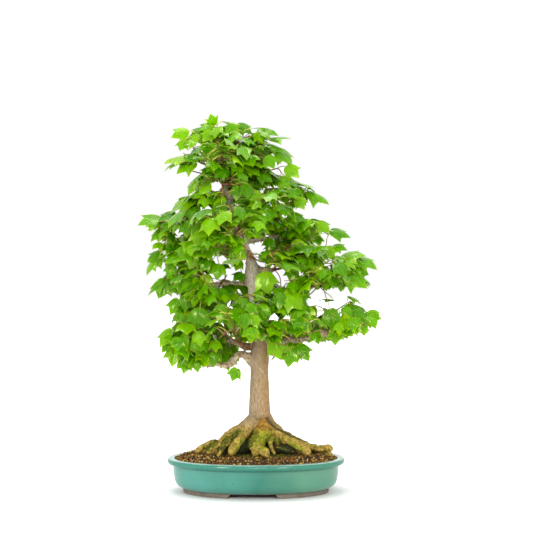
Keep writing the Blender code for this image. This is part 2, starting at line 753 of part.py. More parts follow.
def tip_places(space, shift):
    """Twig tips spread evenly through the space, the ones nearest the seat first.

    The k-th place is the fractional part of k times the first three powers of
    1 / 1.2207, a sequence that fills a cube evenly; those in the ball are kept.
    """
    powers = (1 / SPREAD_RATIO) ** np.arange(1, 4)
    places = []
    for k in range(TIP_CANDIDATES):
        local = 2 * np.mod(shift + k * powers, 1.0) - 1
        if np.linalg.norm(local) < 1.0:
            places.append(space.centre + (TIP_REACH * local * space.radii) @ space.axes)
    return places


class Twigs:
    """The twigs of one mass, which grow on from its stem."""

    def __init__(self, stem):
        self.nodes = [np.array(p) for p in stem]
        self.travelled = [0.0]
        for earlier, later in zip(stem[:-1], stem[1:]):
            self.travelled.append(self.travelled[-1] + np.linalg.norm(later - earlier))

    def best_joint(self, place):
        """The node from which a twig to the place is shortest.

        A share of the way back to the seat counts too, so that twigs fork at
        narrow angles and run outward.
        """
        costs = [np.linalg.norm(place - node) + WAY_BACK * way
                 for node, way in zip(self.nodes[1:], self.travelled[1:])]
        return 1 + int(np.argmin(costs))

    def add(self, joint, place):
        """Keep a new tip, with its way back to the seat."""
        self.nodes.append(place)
        self.travelled.append(self.travelled[joint] + np.linalg.norm(place - self.nodes[joint]))


def leaf_solid(base, heading, droop, roll, length):
    """A three-lobed leaf: eight faces round a thin middle, its root at the base."""
    level = np.array([heading[0], heading[1], 0.0])
    level /= np.linalg.norm(level)
    ahead = level * math.cos(droop) - np.array([0, 0, math.sin(droop)])
    side = np.array([-level[1], level[0], 0.0])
    up = np.cross(ahead, side)
    side = side * math.cos(roll) + up * math.sin(roll)
    up = np.cross(ahead, side)
    half = length * LEAF_HALF_WIDTH
    waist = base + ahead * length * LEAF_WIDEST - up * length * LEAF_EDGE_DROP
    middle = base + ahead * length * LEAF_MIDDLE + up * length * LEAF_CROWN
    return np.array([
        base,
        waist + side * half,
        base + ahead * length,
        waist - side * half,
        middle + up * LEAF_THICKNESS / 2,
        middle - up * LEAF_THICKNESS / 2,
    ])


LEAF_FACES = ((0, 4, 1), (1, 4, 2), (2, 4, 3), (3, 4, 0),
              (0, 1, 5), (1, 2, 5), (2, 3, 5), (3, 0, 5))
LEAF_EDGES = ((0, 1), (1, 2), (2, 3), (3, 0), (0, 2), (1, 3))


def leaf_lines(corners):
    """The lines of a leaf's outline and its two diagonals, short of its root."""
    starts = np.array([corners[i] for i, _ in LEAF_EDGES])
    ends = np.array([corners[j] for _, j in LEAF_EDGES])
    starts = starts + ROOT_SKIP * (ends - starts) * (starts == corners[0])
    ends = ends + ROOT_SKIP * (starts - ends) * (ends == corners[0])
    return starts, ends


def leaf_clear(corners, limbs, owner, leaves):
    """Whether a leaf keeps clear of the limbs and crosses no leaf of its mass."""
    starts, ends = leaf_lines(corners)
    if limbs.gap(starts, ends, (owner,)) < LIMB_MARGIN:
        return False
    if limbs.pierce(corners, (owner,)):
        return False
    for other in leaves:
        if np.linalg.norm(other[4] - corners[4]) > LEAF_NEAR:
            continue
        if pierced(starts, ends, other) or pierced(*leaf_lines(other), corners):
            return False
    return True


def usual_droop(space):
    """Leaves hang low at the crown's foot and lie nearly level at its top."""
    share = (space.centre[2] - CROWN_LOW) / (CROWN_HIGH - CROWN_LOW)
    return DROOP_LOW + (DROOP_HIGH - DROOP_LOW) * min(max(share, 0.0), 1.0)


def fan_of_leaves(space, start, tip, limbs, leaves, random_source):
    """Opposite pairs of leaves at a twig's end, each kept where it has room."""
    way_out = (tip - start) / np.linalg.norm(tip - start)
    outward = tip - space.centre
    along_twig, along_mass, off_middle = HEADING_MIX
    heading = along_twig * way_out + along_mass * space.out
    heading += off_middle * outward / np.linalg.norm(outward)
    first = math.atan2(heading[1], heading[0])
    fan = []
    for pair, spread in enumerate(PAIR_SPREADS):
        node = tip - way_out * PAIR_STEP * pair
        for hand in (-1, 1):
            for attempt in range(LEAF_TRIES):
                loose = PAIR_LOOSE * (1 + attempt)
                angle = first + hand * spread + random_source.uniform(-loose, loose)
                way = np.array([math.cos(angle), math.sin(angle), 0.0])
                droop = usual_droop(space) + random_source.uniform(*DROOP_VARIES)
                roll = random_source.uniform(-LEAF_ROLL, LEAF_ROLL)
                length = LEAF_LENGTH * random_source.uniform(*LEAF_VARIES)
                length *= 1 - LEAF_SHRINK * attempt
                corners = leaf_solid(node, way, droop, roll, length)
                if not space.holds(corners, LEAF_STANDOUT):
                    continue
                if leaf_clear(corners, limbs, space.mass.name, leaves + fan):
                    fan.append(corners)
                    break
    return fan


def grow_mass(space, stem, limbs, random_source):
    """Work out a mass: its tubes and its leaves, each clear and in the space."""
    name = space.mass.name
    twigs = Twigs(stem)
    tubes = [(stem, np.linspace(STEM_RADIUS, STEM_END, len(stem)))]
    leaves = []
    tips = []
    places = tip_places(space, random_source.random())
    places.sort(key=lambda place: np.linalg.norm(place - stem[0]))
    for place in [stem[-1]] + places:
        if tips and min(np.linalg.norm(place - tip) for tip in tips) < TIP_SPACING:
            continue
        joint = twigs.best_joint(place)
        start = twigs.nodes[joint]
        at_end = np.allclose(place, stem[-1])
        if at_end:
            start = stem[-2]
        rod = (np.array([start]), np.array([place]))
        if not space.holds(np.array([place])) or not (at_end or space.holds(np.array([start]))):
            continue
        if not at_end and limbs.gap(*rod, (name,)) < TWIG_RADIUS + LIMB_MARGIN:
            continue
        new_leaves = fan_of_leaves(space, start, place, limbs, leaves, random_source)
        if len(new_leaves) < LEAVES_WANTED:
            continue
        leaves.extend(new_leaves)
        tips.append(place)
        if not at_end:
            twigs.add(joint, place)
            ahead = (place - start) / np.linalg.norm(place - start)
            ends = np.array([start, place + ahead * TWIG_RADIUS])
            tubes.append((ends, [TWIG_RADIUS, TWIG_END]))
    return tubes, leaves


def make_mass(space, tubes, leaves, material, parent):
    """One foliage mass: twigs and leaves joined into a single solid."""
    name = space.mass.name
    thing = new_object(name, *tube(*tubes[0], TWIG_SIDES), material, parent)
    group = gathering("pieces")
    for number, (points, radii) in enumerate(tubes[1:]):
        new_object(f"twig_{number}", *tube(points, radii, TWIG_SIDES), parent=parent,
                   collection=group)
    for number, corners in enumerate(leaves):
        new_object(f"leaf_{number}", corners, LEAF_FACES, parent=parent, collection=group)
    combine(thing, group)
    keep_largest(thing)
    return thing


def reaches_seat(thing, seat):
    """Whether the mass still has its stem's foot, right at the seat."""
    return any((vertex.co - Vector(seat)).length < 2 * STEM_RADIUS for vertex in thing.data.vertices)


def lay_out_foliage():
    """The space and the stem of each mass, and the limbs that all keep clear of."""
    limbs = Limbs()
    limbs.add("trunk", TRUNK_PATH[:, :3], TRUNK_PATH[:, 3])
    for bough in BOUGHS:
        limbs.add(bough.name, *bough_path(bough))
    spaces = [Space(mass) for mass in MASSES]
    for space in spaces:
        for other in spaces:
            if other is not space:
                space.part_from(other)
    stems = [stem_path(space) for space in spaces]
    for space, stem in zip(spaces, stems):
        limbs.add(space.mass.name, stem, np.full(len(stem), STEM_RADIUS))
    return limbs, spaces, stems


def make_foliage(parent):
    """All the masses, each in its own space and clear of trunk, boughs and stems.

    Each mass is grown several times by its own seeds. The fullest growth whose
    twigs and leaves join into one whole surface, stem and all, is kept.
    """
    limbs, spaces, stems = lay_out_foliage()
    for number, (space, stem) in enumerate(zip(spaces, stems)):
        growths = []
        for growth in range(GROWTHS):
            random_source = random.Random(f"{space.mass.name} {growth}")
            growths.append(grow_mass(space, stem, limbs, random_source))
        growths.sort(key=lambda grown: -len(grown[1]))
        colour = LEAF_GREENS[number % len(LEAF_GREENS)]
        leaf_material = surface(space.mass.name + "_green", colour, 0.45)
        for tubes, leaves in growths:
            thing = make_mass(space, tubes, leaves, leaf_material, parent)
            if is_whole(thing) and reaches_seat(thing, stem[0]):
                break
            bpy.data.objects.remove(thing, do_unlink=True)


def main():
    clear_scene()
    plant = bpy.data.objects.new("plant", None)
    plant.location = PLANT_SHIFT
    bpy.context.scene.collection.objects.link(plant)
    make_pot(plant)
    make_soil(plant)
    make_foot("foot_left", -1, plant)
    make_foot("foot_right", 1, plant)
    make_trunk(plant)
    for bough in BOUGHS:
        make_bough(bough, plant, surface(bough.name + "_bark", BOUGH_BARK, 0.85))
    make_foliage(plant)


main()
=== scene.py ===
# %% [markdown]
# A potted trident maple, trained as a small tree: a pale trunk on spread surface
# roots, short boughs, red-brown twigs with three-lobed leaves, and an oval pot
# with a teal glaze. The solids of the frame give every place and size. Paint on
# them would be simpler, but bark, leaves and soil need far finer shapes. So each
# surface is worked out anew here with numpy, in the same place.

# %% Load the frame
import itertools
import math
from collections import namedtuple

import bpy
import numpy as np
from mathutils.bvhtree import BVHTree
from numpy.linalg import norm
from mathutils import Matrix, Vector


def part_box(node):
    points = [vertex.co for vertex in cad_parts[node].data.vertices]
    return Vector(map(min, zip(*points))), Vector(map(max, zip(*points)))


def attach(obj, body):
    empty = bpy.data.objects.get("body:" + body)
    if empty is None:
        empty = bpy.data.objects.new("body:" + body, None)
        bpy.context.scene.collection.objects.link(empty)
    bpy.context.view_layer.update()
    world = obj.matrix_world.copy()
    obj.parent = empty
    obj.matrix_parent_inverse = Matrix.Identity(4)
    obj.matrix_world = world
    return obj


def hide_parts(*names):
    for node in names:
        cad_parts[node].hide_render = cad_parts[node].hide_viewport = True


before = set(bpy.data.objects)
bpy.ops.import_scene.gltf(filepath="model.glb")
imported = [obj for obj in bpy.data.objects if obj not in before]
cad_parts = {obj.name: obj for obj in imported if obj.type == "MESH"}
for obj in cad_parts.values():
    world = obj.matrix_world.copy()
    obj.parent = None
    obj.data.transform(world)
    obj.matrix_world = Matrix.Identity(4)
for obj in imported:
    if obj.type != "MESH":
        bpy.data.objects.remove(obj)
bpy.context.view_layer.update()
print("nodes in the frame:", len(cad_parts))

# %% [markdown]
# The pot stands on the ground at z = 0, and the plant is laid out from the middle
# of the pot. That is read from the frame, so that the plant follows if it moves.

# %% Places taken from the frame
pot_low, pot_high = (np.array(corner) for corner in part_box("pot"))
MIDDLE = np.array([(pot_low[0] + pot_high[0]) / 2, (pot_low[1] + pot_high[1]) / 2, 0.0])
POT_HALF = (pot_high - pot_low)[:2] / 2
POT_TOP = pot_high[2]
HEEL = pot_low[2]
SOIL_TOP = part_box("soil")[1][2]
UP = np.array([0.0, 0.0, 1.0])
print("pot", (2000 * POT_HALF).round(1), "mm, rim at", round(POT_TOP * 1000, 1), "mm")

# %% [markdown]
# The camera comes first, because some roots and leaves are placed by where they
# show. It stands level, 2.45 m in front of the pot, with a long lens, as for a
# studio picture. From close by more soil would show, but the rim's narrow ellipse
# in the photo says that the camera stood well back.

# %% Camera
IMAGE_SIDE = 533
FOCAL_PIXELS = 1450.0
SENSOR = 36.0
CAMERA_PLACE = MIDDLE + np.array([0.0177, -2.45, 0.38])

scene = bpy.context.scene
camera_data = bpy.data.cameras.new("camera")
camera_data.sensor_width = SENSOR
camera_data.lens = FOCAL_PIXELS / IMAGE_SIDE * SENSOR
camera = bpy.data.objects.new("camera", camera_data)
camera.location = CAMERA_PLACE
camera.rotation_euler = (math.pi / 2, 0.0, 0.0)
scene.collection.objects.link(camera)
scene.camera = camera


def seen_at(points):
    """Picture places of points: the offset from the camera, over its depth, times the lens."""
    offset = points + MIDDLE - CAMERA_PLACE
    across = IMAGE_SIDE / 2 + FOCAL_PIXELS * offset[..., 0] / offset[..., 1]
    down = IMAGE_SIDE / 2 - FOCAL_PIXELS * offset[..., 2] / offset[..., 1]
    return np.stack([across, down], axis=-1)


def place_seen(across, down, depth):
    """The point behind a picture place, in the upright plane that far behind the pot's middle."""
    reach = MIDDLE[1] + depth - CAMERA_PLACE[1]
    x = CAMERA_PLACE[0] + (across - IMAGE_SIDE / 2) / FOCAL_PIXELS * reach
    z = CAMERA_PLACE[2] - (down - IMAGE_SIDE / 2) / FOCAL_PIXELS * reach
    return np.array([x, MIDDLE[1] + depth, z]) - MIDDLE


print("lens", round(camera_data.lens, 1), "mm")

# %% [markdown]
# Every colour is a hex value, as a paint shop would give it. Blender's shaders
# work in linear light, so one function turns the one into the other. A second
# adds a shader node with its settings and links. Most finishes are built like
# paint, tone over tone, so a third one lays such layers.

# %% Helpers for materials
def linear(hex_colour):
    """Linear colour from sRGB hex: c / 12.92 when dark, else ((c + 0.055) / 1.055) ^ 2.4."""
    parts = np.array([int(hex_colour[i:i + 2], 16) for i in (1, 3, 5)]) / 255
    bright = ((parts + 0.055) / 1.055) ** 2.4
    return (*np.where(parts <= 0.04045, parts / 12.92, bright), 1.0)


def add_node(tree, kind, inputs=None, **settings):
    """Add a shader node: settings are its properties, inputs its sockets' values or links."""
    node = tree.nodes.new("ShaderNode" + kind)
    for name, value in settings.items():
        setattr(node, name, value)
    for socket, value in (inputs or {}).items():
        if isinstance(value, bpy.types.NodeSocket):
            tree.links.new(value, node.inputs[socket])
        else:
            node.inputs[socket].default_value = value
    return node


def layered(tree, base, layers):
    """A base colour with tones laid over it in turn, each as far as its own value says.

    A layer is a value, where it starts, where it is full, its share there, and its tone.
    Base and tones are hex colours or the colours of other nodes.
    """
    colour = base
    for value, start, full, share, tone in layers:
        shown = add_node(tree, "MapRange", {"Value": value, "From Min": start, "From Max": full,
                                            "To Max": share})
        below, over = (linear(end) if isinstance(end, str) else end for end in (colour, tone))
        mixed = add_node(tree, "Mix", {0: shown.outputs[0], 6: below, 7: over}, data_type="RGBA")
        colour = mixed.outputs[2]
    return colour


def dress(tree, shader, colour, height=None, strength=0.0, distance=0.0005):
    """Join a colour to the shader, and a height as a bump that is so many metres deep."""
    tree.links.new(colour, shader.inputs["Base Color"])
    if height is not None:
        bump = add_node(tree, "Bump", {"Height": height, "Strength": strength,
                                       "Distance": distance})
        tree.links.new(bump.outputs["Normal"], shader.inputs["Normal"])


def new_material(name, colour, roughness, ior=1.5):
    """A Principled material of one colour, its node tree, its shader, and places on the piece."""
    material = bpy.data.materials.new(name)
    material.use_nodes = True
    material.diffuse_color = linear(colour)
    tree = material.node_tree
    shader = tree.nodes["Principled BSDF"]
    shader.inputs["Base Color"].default_value = linear(colour)
    shader.inputs["Roughness"].default_value = roughness
    shader.inputs["IOR"].default_value = ior
    return material, tree, shader, add_node(tree, "TexCoord").outputs["Object"]


def per_metre(millimetres):
    """Texture scale that makes a pattern's cell about so many millimetres wide."""
    return 1000.0 / millimetres


print("glaze in linear light:", linear("#4c9587"))

# %% [markdown]
# The new pieces are arrays of points first. A few helpers serve them all: they
# make the mesh object, sweep round sections along many paths at once, join meshes
# and give smooth random relief. Sculpting would do for one root, but not for two
# thousand leaves.

# %% Helpers for shapes
def new_piece(name, points, faces, materials, indices=None, smooth=True):
    """Mesh object at the origin from points, faces and the material of each face."""
    mesh = bpy.data.meshes.new(name)
    mesh.from_pydata(np.asarray(points).tolist(), [], faces)
    for material in materials:
        mesh.materials.append(material)
    if indices is not None:
        mesh.polygons.foreach_set("material_index", np.asarray(indices, dtype=np.int32))
    mesh.polygons.foreach_set("use_smooth", np.full(len(mesh.polygons), smooth))
    mesh.update()
    piece = bpy.data.objects.new(name, mesh)
    scene.collection.objects.link(piece)
    return piece


def finish_piece(piece, slot, *replaced):
    """Let the piece move with the plant, and hide the solids that it replaces; the slot is not used."""
    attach(piece, "root")
    if replaced:
        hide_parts(*replaced)
    piece.data.update()
    piece.data.calc_loop_triangles()
    print(piece.name, len(piece.data.loop_triangles), "triangles")


print("helpers for pieces ready")

# %% Helpers for paths and relief
def unit(vectors):
    """Vectors of length one along the last axis."""
    return vectors / (norm(vectors, axis=-1, keepdims=True) + 1e-12)


def level_way(angle):
    """Level direction of an angle that is counted from +X toward the back."""
    return np.array([math.cos(angle), math.sin(angle), 0.0])


def read_out(items, field, width=1, kind=float):
    """One property of many mesh items as an array, with so many numbers each."""
    found = np.zeros(len(items) * width, dtype=kind)
    items.foreach_get(field, found)
    return found.reshape(-1, width) if width > 1 else found


def ring_walls(index):
    """Four-sided faces between rings of point numbers, each ring closed on itself."""
    beside = np.roll(index, -1, axis=-1)
    corners = [index[..., :-1, :], beside[..., :-1, :], beside[..., 1:, :], index[..., 1:, :]]
    return np.stack(corners, axis=-1).reshape(-1, 4)


def circles(ways, helper, sides):
    """Unit circles square to the ways: cos(turn) across plus sin(turn) over."""
    across = unit(np.cross(ways, helper))
    over = np.cross(ways, across)
    turn = np.arange(sides)[:, None] * 2 * math.pi / sides
    return across[..., None, :] * np.cos(turn) + over[..., None, :] * np.sin(turn)


def tubes(paths, radii, sides):
    """Closed round tubes along many paths at once: each path's points plus radius times a circle.

    paths is (tubes, rings, 3) and radii (tubes, rings).
    """
    count, rings, _ = paths.shape
    ahead = unit(np.gradient(paths, axis=1))
    helper = np.eye(3)[np.argmin(np.abs(ahead.mean(axis=1)), axis=1)]
    ring = circles(ahead, helper[:, None], sides)
    points = paths[:, :, None] + radii[:, :, None, None] * ring
    index = np.arange(count * rings * sides).reshape(count, rings, sides)
    faces = ring_walls(index).tolist() + index[:, 0, ::-1].tolist() + index[:, -1].tolist()
    return points.reshape(-1, 3), faces


def joined(parts):
    """Several meshes as one: their points, and faces whose corners count on from mesh to mesh."""
    points = []
    faces = []
    for part_points, part_faces in parts:
        faces += [[corner + len(points) for corner in face] for face in part_faces]
        points += np.asarray(part_points).tolist()
    return np.array(points), faces


def bent(start, pull, stop, t):
    """Curve that leans toward a third point: (1-t)^2 start + 2t(1-t) pull + t^2 stop."""
    return (1 - t) ** 2 * start + 2 * t * (1 - t) * pull + t ** 2 * stop


def smooth_path(points, steps):
    """Cubic curve through the points, its slope at each half the way between its neighbours."""
    points = np.asarray(points, dtype=float)
    ends = np.vstack([2 * points[0] - points[1], points, 2 * points[-1] - points[-2]])
    t = (np.arange(steps) / steps)[None, :, None]
    before, start, stop, after = (ends[i:len(ends) - 3 + i, None] for i in range(4))
    curve = 0.5 * (2 * start + (stop - before) * t
                   + (2 * before - 5 * start + 4 * stop - after) * t ** 2
                   + (3 * start - before - 3 * stop + after) * t ** 3)
    return np.vstack([curve.reshape(-1, points.shape[1]), points[-1]])


def relief(points, size, seed):
    """Smooth noise from -1 to 1 whose bumps are about `size` across.

    The corners of a cubic lattice hold seeded random values. A point takes the
    eight values round it, each weighted by 3t^2 - 2t^3 along every axis.
    """
    side = 32
    table = np.random.default_rng(seed).uniform(-1.0, 1.0, (side, side, side))
    place = points / size
    cell = np.floor(place).astype(int)
    t = place - cell
    t = t * t * (3 - 2 * t)
    total = np.zeros(len(points))
    for corner in itertools.product((0, 1), repeat=3):
        weight = np.prod(np.where(corner, t, 1 - t), axis=1)
        i, j, k = ((cell + corner) % side).T
        total += weight * table[i, j, k]
    return total


def smooth_step(low, high, value):
    """0 below low, 1 above high, and 3t^2 - 2t^3 between."""
    t = np.clip((value - low) / (high - low), 0.0, 1.0)
    return t * t * (3 - 2 * t)


print("helpers for paths ready")

# %% [markdown]
# The pot is stoneware, pressed in one oval form: a low wall that sweeps out from
# the heel, and a thick rounded lip. A Screw modifier turns only round shapes, so
# here the profile is carried round a superellipse, |x/a|^n + |y/b|^n = 1 with n a
# little over 2. One grid holds outside, lip, inside and floor, closed at a pole
# below and one above.

# %% Shape of the pot
POT_CORNER = 2.15
POT_STEPS = 192
LIP_HEIGHT = 0.0105
LIP_OUT = 0.01
CREASE = POT_TOP - LIP_HEIGHT
WALL = 0.0065
POT_FLOOR = 0.0075
HEEL_INSET = 0.027
WAVER = 0.00018

OUTSIDE = (
    (HEEL_INSET, HEEL), (LIP_OUT + 0.011, HEEL + 0.003), (LIP_OUT + 0.0062, HEEL + 0.0068),
    (LIP_OUT + 0.0032, HEEL + 0.0122), (LIP_OUT + 0.0014, HEEL + 0.02), (LIP_OUT, HEEL + 0.029),
    (LIP_OUT - 0.0004, CREASE - 0.0012), (LIP_OUT - 0.0026, CREASE + 0.0002),
    (0.003, CREASE + 0.0008), (0.0008, CREASE + 0.0026), (0.0, CREASE + 0.0052),
    (0.0006, POT_TOP - 0.0026), (0.0022, POT_TOP - 0.0007), (0.005, POT_TOP),
)
INSIDE = (
    (0.01, POT_TOP - 0.0003), (0.0125, POT_TOP - 0.0014), (LIP_OUT + WALL, CREASE),
    (LIP_OUT + WALL + 0.0012, HEEL + 0.0235), (LIP_OUT + WALL + 0.006, HEEL + POT_FLOOR + 0.003),
    (HEEL_INSET + 0.01, HEEL + POT_FLOOR),
)


def oval(turn, inset):
    """Point of the superellipse drawn in by inset: a sign(cos) |cos|^(2/n), the same with sin."""
    c = np.cos(turn)
    s = np.sin(turn)
    x = np.sign(c) * np.abs(c) ** (2 / POT_CORNER) * (POT_HALF[0] - inset)
    y = np.sign(s) * np.abs(s) ** (2 / POT_CORNER) * (POT_HALF[1] - inset)
    return x, y


def even_turns(steps):
    """Turns that put the points at even distances round the oval."""
    fine = np.linspace(0.0, 2 * math.pi, 2881)
    x, y = oval(fine, 0.0)
    length = np.concatenate([[0.0], np.cumsum(np.hypot(np.diff(x), np.diff(y)))])
    return np.interp(np.arange(steps) / steps * length[-1], length, fine)


def capped(rings, start, stop):
    """Walls between rings of points, closed by a pole at the middle of the first and the last."""
    index = np.arange(rings[..., 0].size).reshape(rings.shape[:2])
    pole = np.full(index.shape[1], index.size)
    first = np.stack([pole, np.roll(index[0], -1), index[0]], axis=-1)
    last = np.stack([pole + 1, index[-1], np.roll(index[-1], -1)], axis=-1)
    points = np.vstack([rings.reshape(-1, 3), (0.0, 0.0, start), (0.0, 0.0, stop)])
    return points, ring_walls(index).tolist() + first.tolist() + last.tolist()


inset, height = smooth_path(OUTSIDE + INSIDE, 4).T
x, y = oval(even_turns(POT_STEPS)[None, :], inset[:, None])
pot_rings = np.stack([x, y, np.broadcast_to(height[:, None], x.shape)], axis=-1)
pot_points, pot_faces = capped(pot_rings, height[0], height[-1])
pot_points[:, :2] *= 1 + WAVER / POT_HALF[1] * relief(pot_points, 0.045, 3)[:, None]
print("pot points:", len(pot_points))

# %% [markdown]
# The glaze is a celadon-like teal glass over grey stoneware, poured and fired. It
# is glossy, runs thin and pale over the lip, and holds a few iron specks. The
# crease under the lip is painted darker, as painted shade. A plain colour would
# look like plastic, so the tones are mixed by a slow noise and by height. The
# three tones from side to side are painted light: lighter at the sides, a painted
# reflection of the lamps, and darker between, painted shade. The glaze's peel and
# the bare clay's grit are under a millimetre, so both are drawn coarser, to show.

# %% Glaze and bare clay
# Wall tones at left, middle and right: painted reflection at the sides, painted shade in the middle.
GLAZE_PAINTED_LIGHT_TONES = ("#4c9587", "#327967", "#569076")
GLAZE_REACH = 0.115
RIPPLE_REACH = 0.0016
GLAZE_THIN = "#a4c9be"
# Darker tone in the crease under the lip: painted shade.
GLAZE_CREASE_SHADE = "#33705f"
GLAZE_LIP = "#227863"
IRON_SPECK = "#2b3a34"


def glazed_stoneware():
    """Teal glaze: three tones from side to side as painted light, pale on the lip, painted shade in the
    crease, specked.
    """
    material, tree, shader, place = new_material("teal glazed stoneware", GLAZE_PAINTED_LIGHT_TONES[0], 0.16, 1.52)
    spot = add_node(tree, "SeparateXYZ", {"Vector": place}).outputs
    cloud, ripple, peel = (
        add_node(tree, "TexNoise", {"Vector": place, "Scale": per_metre(size), "Detail": detail})
        for size, detail in ((60, 3.0), (9, 2.0), (5, 2.0)))
    speck = add_node(tree, "TexVoronoi", {"Vector": place, "Scale": per_metre(12)})
    drift, height = (
        add_node(tree, "Math", {0: noise.outputs["Fac"], 1: reach, 2: spot[along]},
                 operation="MULTIPLY_ADD").outputs[0]
        for noise, reach, along in ((cloud, GLAZE_REACH, "X"), (ripple, RIPPLE_REACH, "Z")))
    above = add_node(tree, "Math", {0: height, 1: CREASE + 0.0004}, operation="SUBTRACT")
    off = add_node(tree, "Math", {0: above.outputs[0]}, operation="ABSOLUTE").outputs[0]
    left, middle, right = (MIDDLE[0] + share * GLAZE_REACH for share in (-0.3, 0.6, 1.3))
    # The tones from side to side are painted light: a painted reflection of the lamps at the sides,
    # painted shade between.
    colour = layered(tree, GLAZE_PAINTED_LIGHT_TONES[0], (
        (drift, left, middle, 1.0, GLAZE_PAINTED_LIGHT_TONES[1]),
        (drift, middle, right, 1.0, GLAZE_PAINTED_LIGHT_TONES[2]),
        (height, CREASE + 0.001, CREASE + 0.0026, 0.75, GLAZE_LIP),
        (height, POT_TOP - 0.0008, POT_TOP + 0.0006, 1.0, GLAZE_THIN),
        # painted shade in the crease under the lip
        (off, 0.0022, 0.0004, 0.75, GLAZE_CREASE_SHADE),
        (speck.outputs["Distance"], 0.1, 0.075, 0.85, IRON_SPECK),
    ))
    dress(tree, shader, colour, peel.outputs["Fac"], 0.05)
    return material


def bare_clay():
    """Unglazed stoneware: grey-brown, dry, with darker iron blooms and a fine grit."""
    material, tree, shader, place = new_material("unglazed stoneware", "#7a6f62", 0.85)
    bloom = add_node(tree, "TexNoise", {"Vector": place, "Scale": per_metre(11), "Detail": 6.0})
    grit = add_node(tree, "TexNoise", {"Vector": place, "Scale": per_metre(1.2)})
    colour = layered(tree, "#8f8474", [(bloom.outputs["Fac"], 0.0, 1.0, 1.0, "#564b42")])
    dress(tree, shader, colour, grit.outputs["Fac"], 0.5, 0.0003)
    return material


glaze = glazed_stoneware()
clay = bare_clay()
pot_heights = np.array([np.mean(pot_points[face, 2]) for face in pot_faces])
pot_indices = (pot_heights < HEEL + 0.0008).astype(int)
pot = new_piece("glazed_pot", pot_points + MIDDLE, pot_faces, [glaze, clay], pot_indices)
finish_piece(pot, "glazed_pot", "pot")

# %% [markdown]
# The pot stands on two curved feet of the same clay, wiped clean of glaze so that
# they don't stick to the kiln shelf. Each is a ring's half with slanted ends. A
# section with eased corners is carried along the oval, parallel to the pot's heel,
# where a bent cube would drift off it.

# %% The two feet
FOOT_GAP_SHIFT = -0.0045
FOOT_SECTION = (
    (0.0, 1.0), (0.0006, 0.55), (0.0016, 0.1), (0.003, 0.0), (0.0124, 0.0),
    (0.0136, 0.12), (0.0144, 0.6), (0.015, 1.0),
)
FOOT_ENDS = (0.086, 0.074)
FOOT_STANDOUT = 0.0012
FOOT_STEPS = 72


def curved_foot(side):
    """Section points at inset and height, carried along the ellipse between the two end gaps."""
    inset, share = np.asarray(FOOT_SECTION).T
    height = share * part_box("foot_left" if side < 0 else "foot_right")[1][2]
    gap = FOOT_ENDS[0] + (FOOT_ENDS[1] - FOOT_ENDS[0]) * share
    reach_x = POT_HALF[0] - HEEL_INSET + FOOT_STANDOUT - inset
    reach_y = POT_HALF[1] - HEEL_INSET + FOOT_STANDOUT - inset
    limit = np.arccos((gap / 2 + side * FOOT_GAP_SHIFT) / reach_x)
    turn = limit * np.linspace(-1.0, 1.0, FOOT_STEPS)[:, None]
    x = side * reach_x * np.cos(turn)
    y = side * reach_y * np.sin(turn)
    points = np.stack([x, y, np.broadcast_to(height, x.shape)], axis=-1).reshape(-1, 3)
    index = np.arange(x.size).reshape(x.shape)
    walls = ring_walls(index)[:, [1, 2, 3, 0]]
    return points, walls.tolist() + [index[0].tolist(), index[-1, ::-1].tolist()]


for side, name in ((-1, "foot_left"), (1, "foot_right")):
    foot_points, foot_faces = curved_foot(side)
    foot_points += 0.00012 * relief(foot_points, 0.006, 5)[:, None]
    foot_points[:, 2] = np.maximum(foot_points[:, 2], 0.0)
    foot = new_piece("clay_" + name, foot_points + MIDDLE, foot_faces, [clay])
    foot.data.set_sharp_from_angle(angle=math.radians(40))
    finish_piece(foot, "unglazed_clay", name)

# %% [markdown]
# Bonsai soil is a mix of sifted grains, 2 to 5 mm across: fired clay, bark, grit
# and some moss. A bumpy sheet with a soil picture on it would look flat. So a
# heaped ground fills the pot, and thousands of small chipped grains lie on it,
# each with the colour of its own stuff.

# %% Ground under the grains
SOIL_RIM = 0.0565
SOIL_INSET = 0.0128
SOIL_TURNS = 180
SOIL_RINGS = 46
SOIL_SHOULDER = 0.02
SOIL_WALL = 0.0145
SOIL_BASE = 0.05


def soil_height(x, y):
    """Height of the heap: the rim's level, up a rounded shoulder, to an uneven top."""
    edge_x = POT_HALF[0] - SOIL_INSET
    edge_y = POT_HALF[1] - SOIL_INSET
    out = (np.abs(x / edge_x) ** POT_CORNER + np.abs(y / edge_y) ** POT_CORNER) ** (1 / POT_CORNER)
    inward = (1 - out) * edge_y
    swell = smooth_step(0.0, SOIL_SHOULDER, inward)
    spots = np.stack([x, y, np.zeros_like(x)], axis=-1)
    bumps = 0.0011 * relief(spots, 0.014, 11) + 0.0005 * relief(spots, 0.005, 12)
    return SOIL_RIM + (SOIL_TOP - 0.0008 - SOIL_RIM) * swell + bumps * swell


def ground_surface():
    """Polar grid over the oval, its rim folded down in the pot, closed below, faces outward."""
    turns = even_turns(SOIL_TURNS)[None, :]
    share = np.linspace(0.0, 1.0, SOIL_RINGS)[1:, None]
    x, y = (share * rim for rim in oval(turns, SOIL_INSET))
    z = soil_height(x.ravel(), y.ravel()).reshape(x.shape)
    wall_x, wall_y = oval(turns, SOIL_WALL)
    wall = np.stack([wall_x, wall_y, np.full_like(wall_x, SOIL_BASE)], axis=-1)
    rings = np.vstack([np.stack([x, y, z], axis=-1), wall])
    crest = soil_height(np.zeros(1), np.zeros(1))[0]
    points, faces = capped(rings, crest, SOIL_BASE)
    return points, [[face[0], *face[:0:-1]] for face in faces]


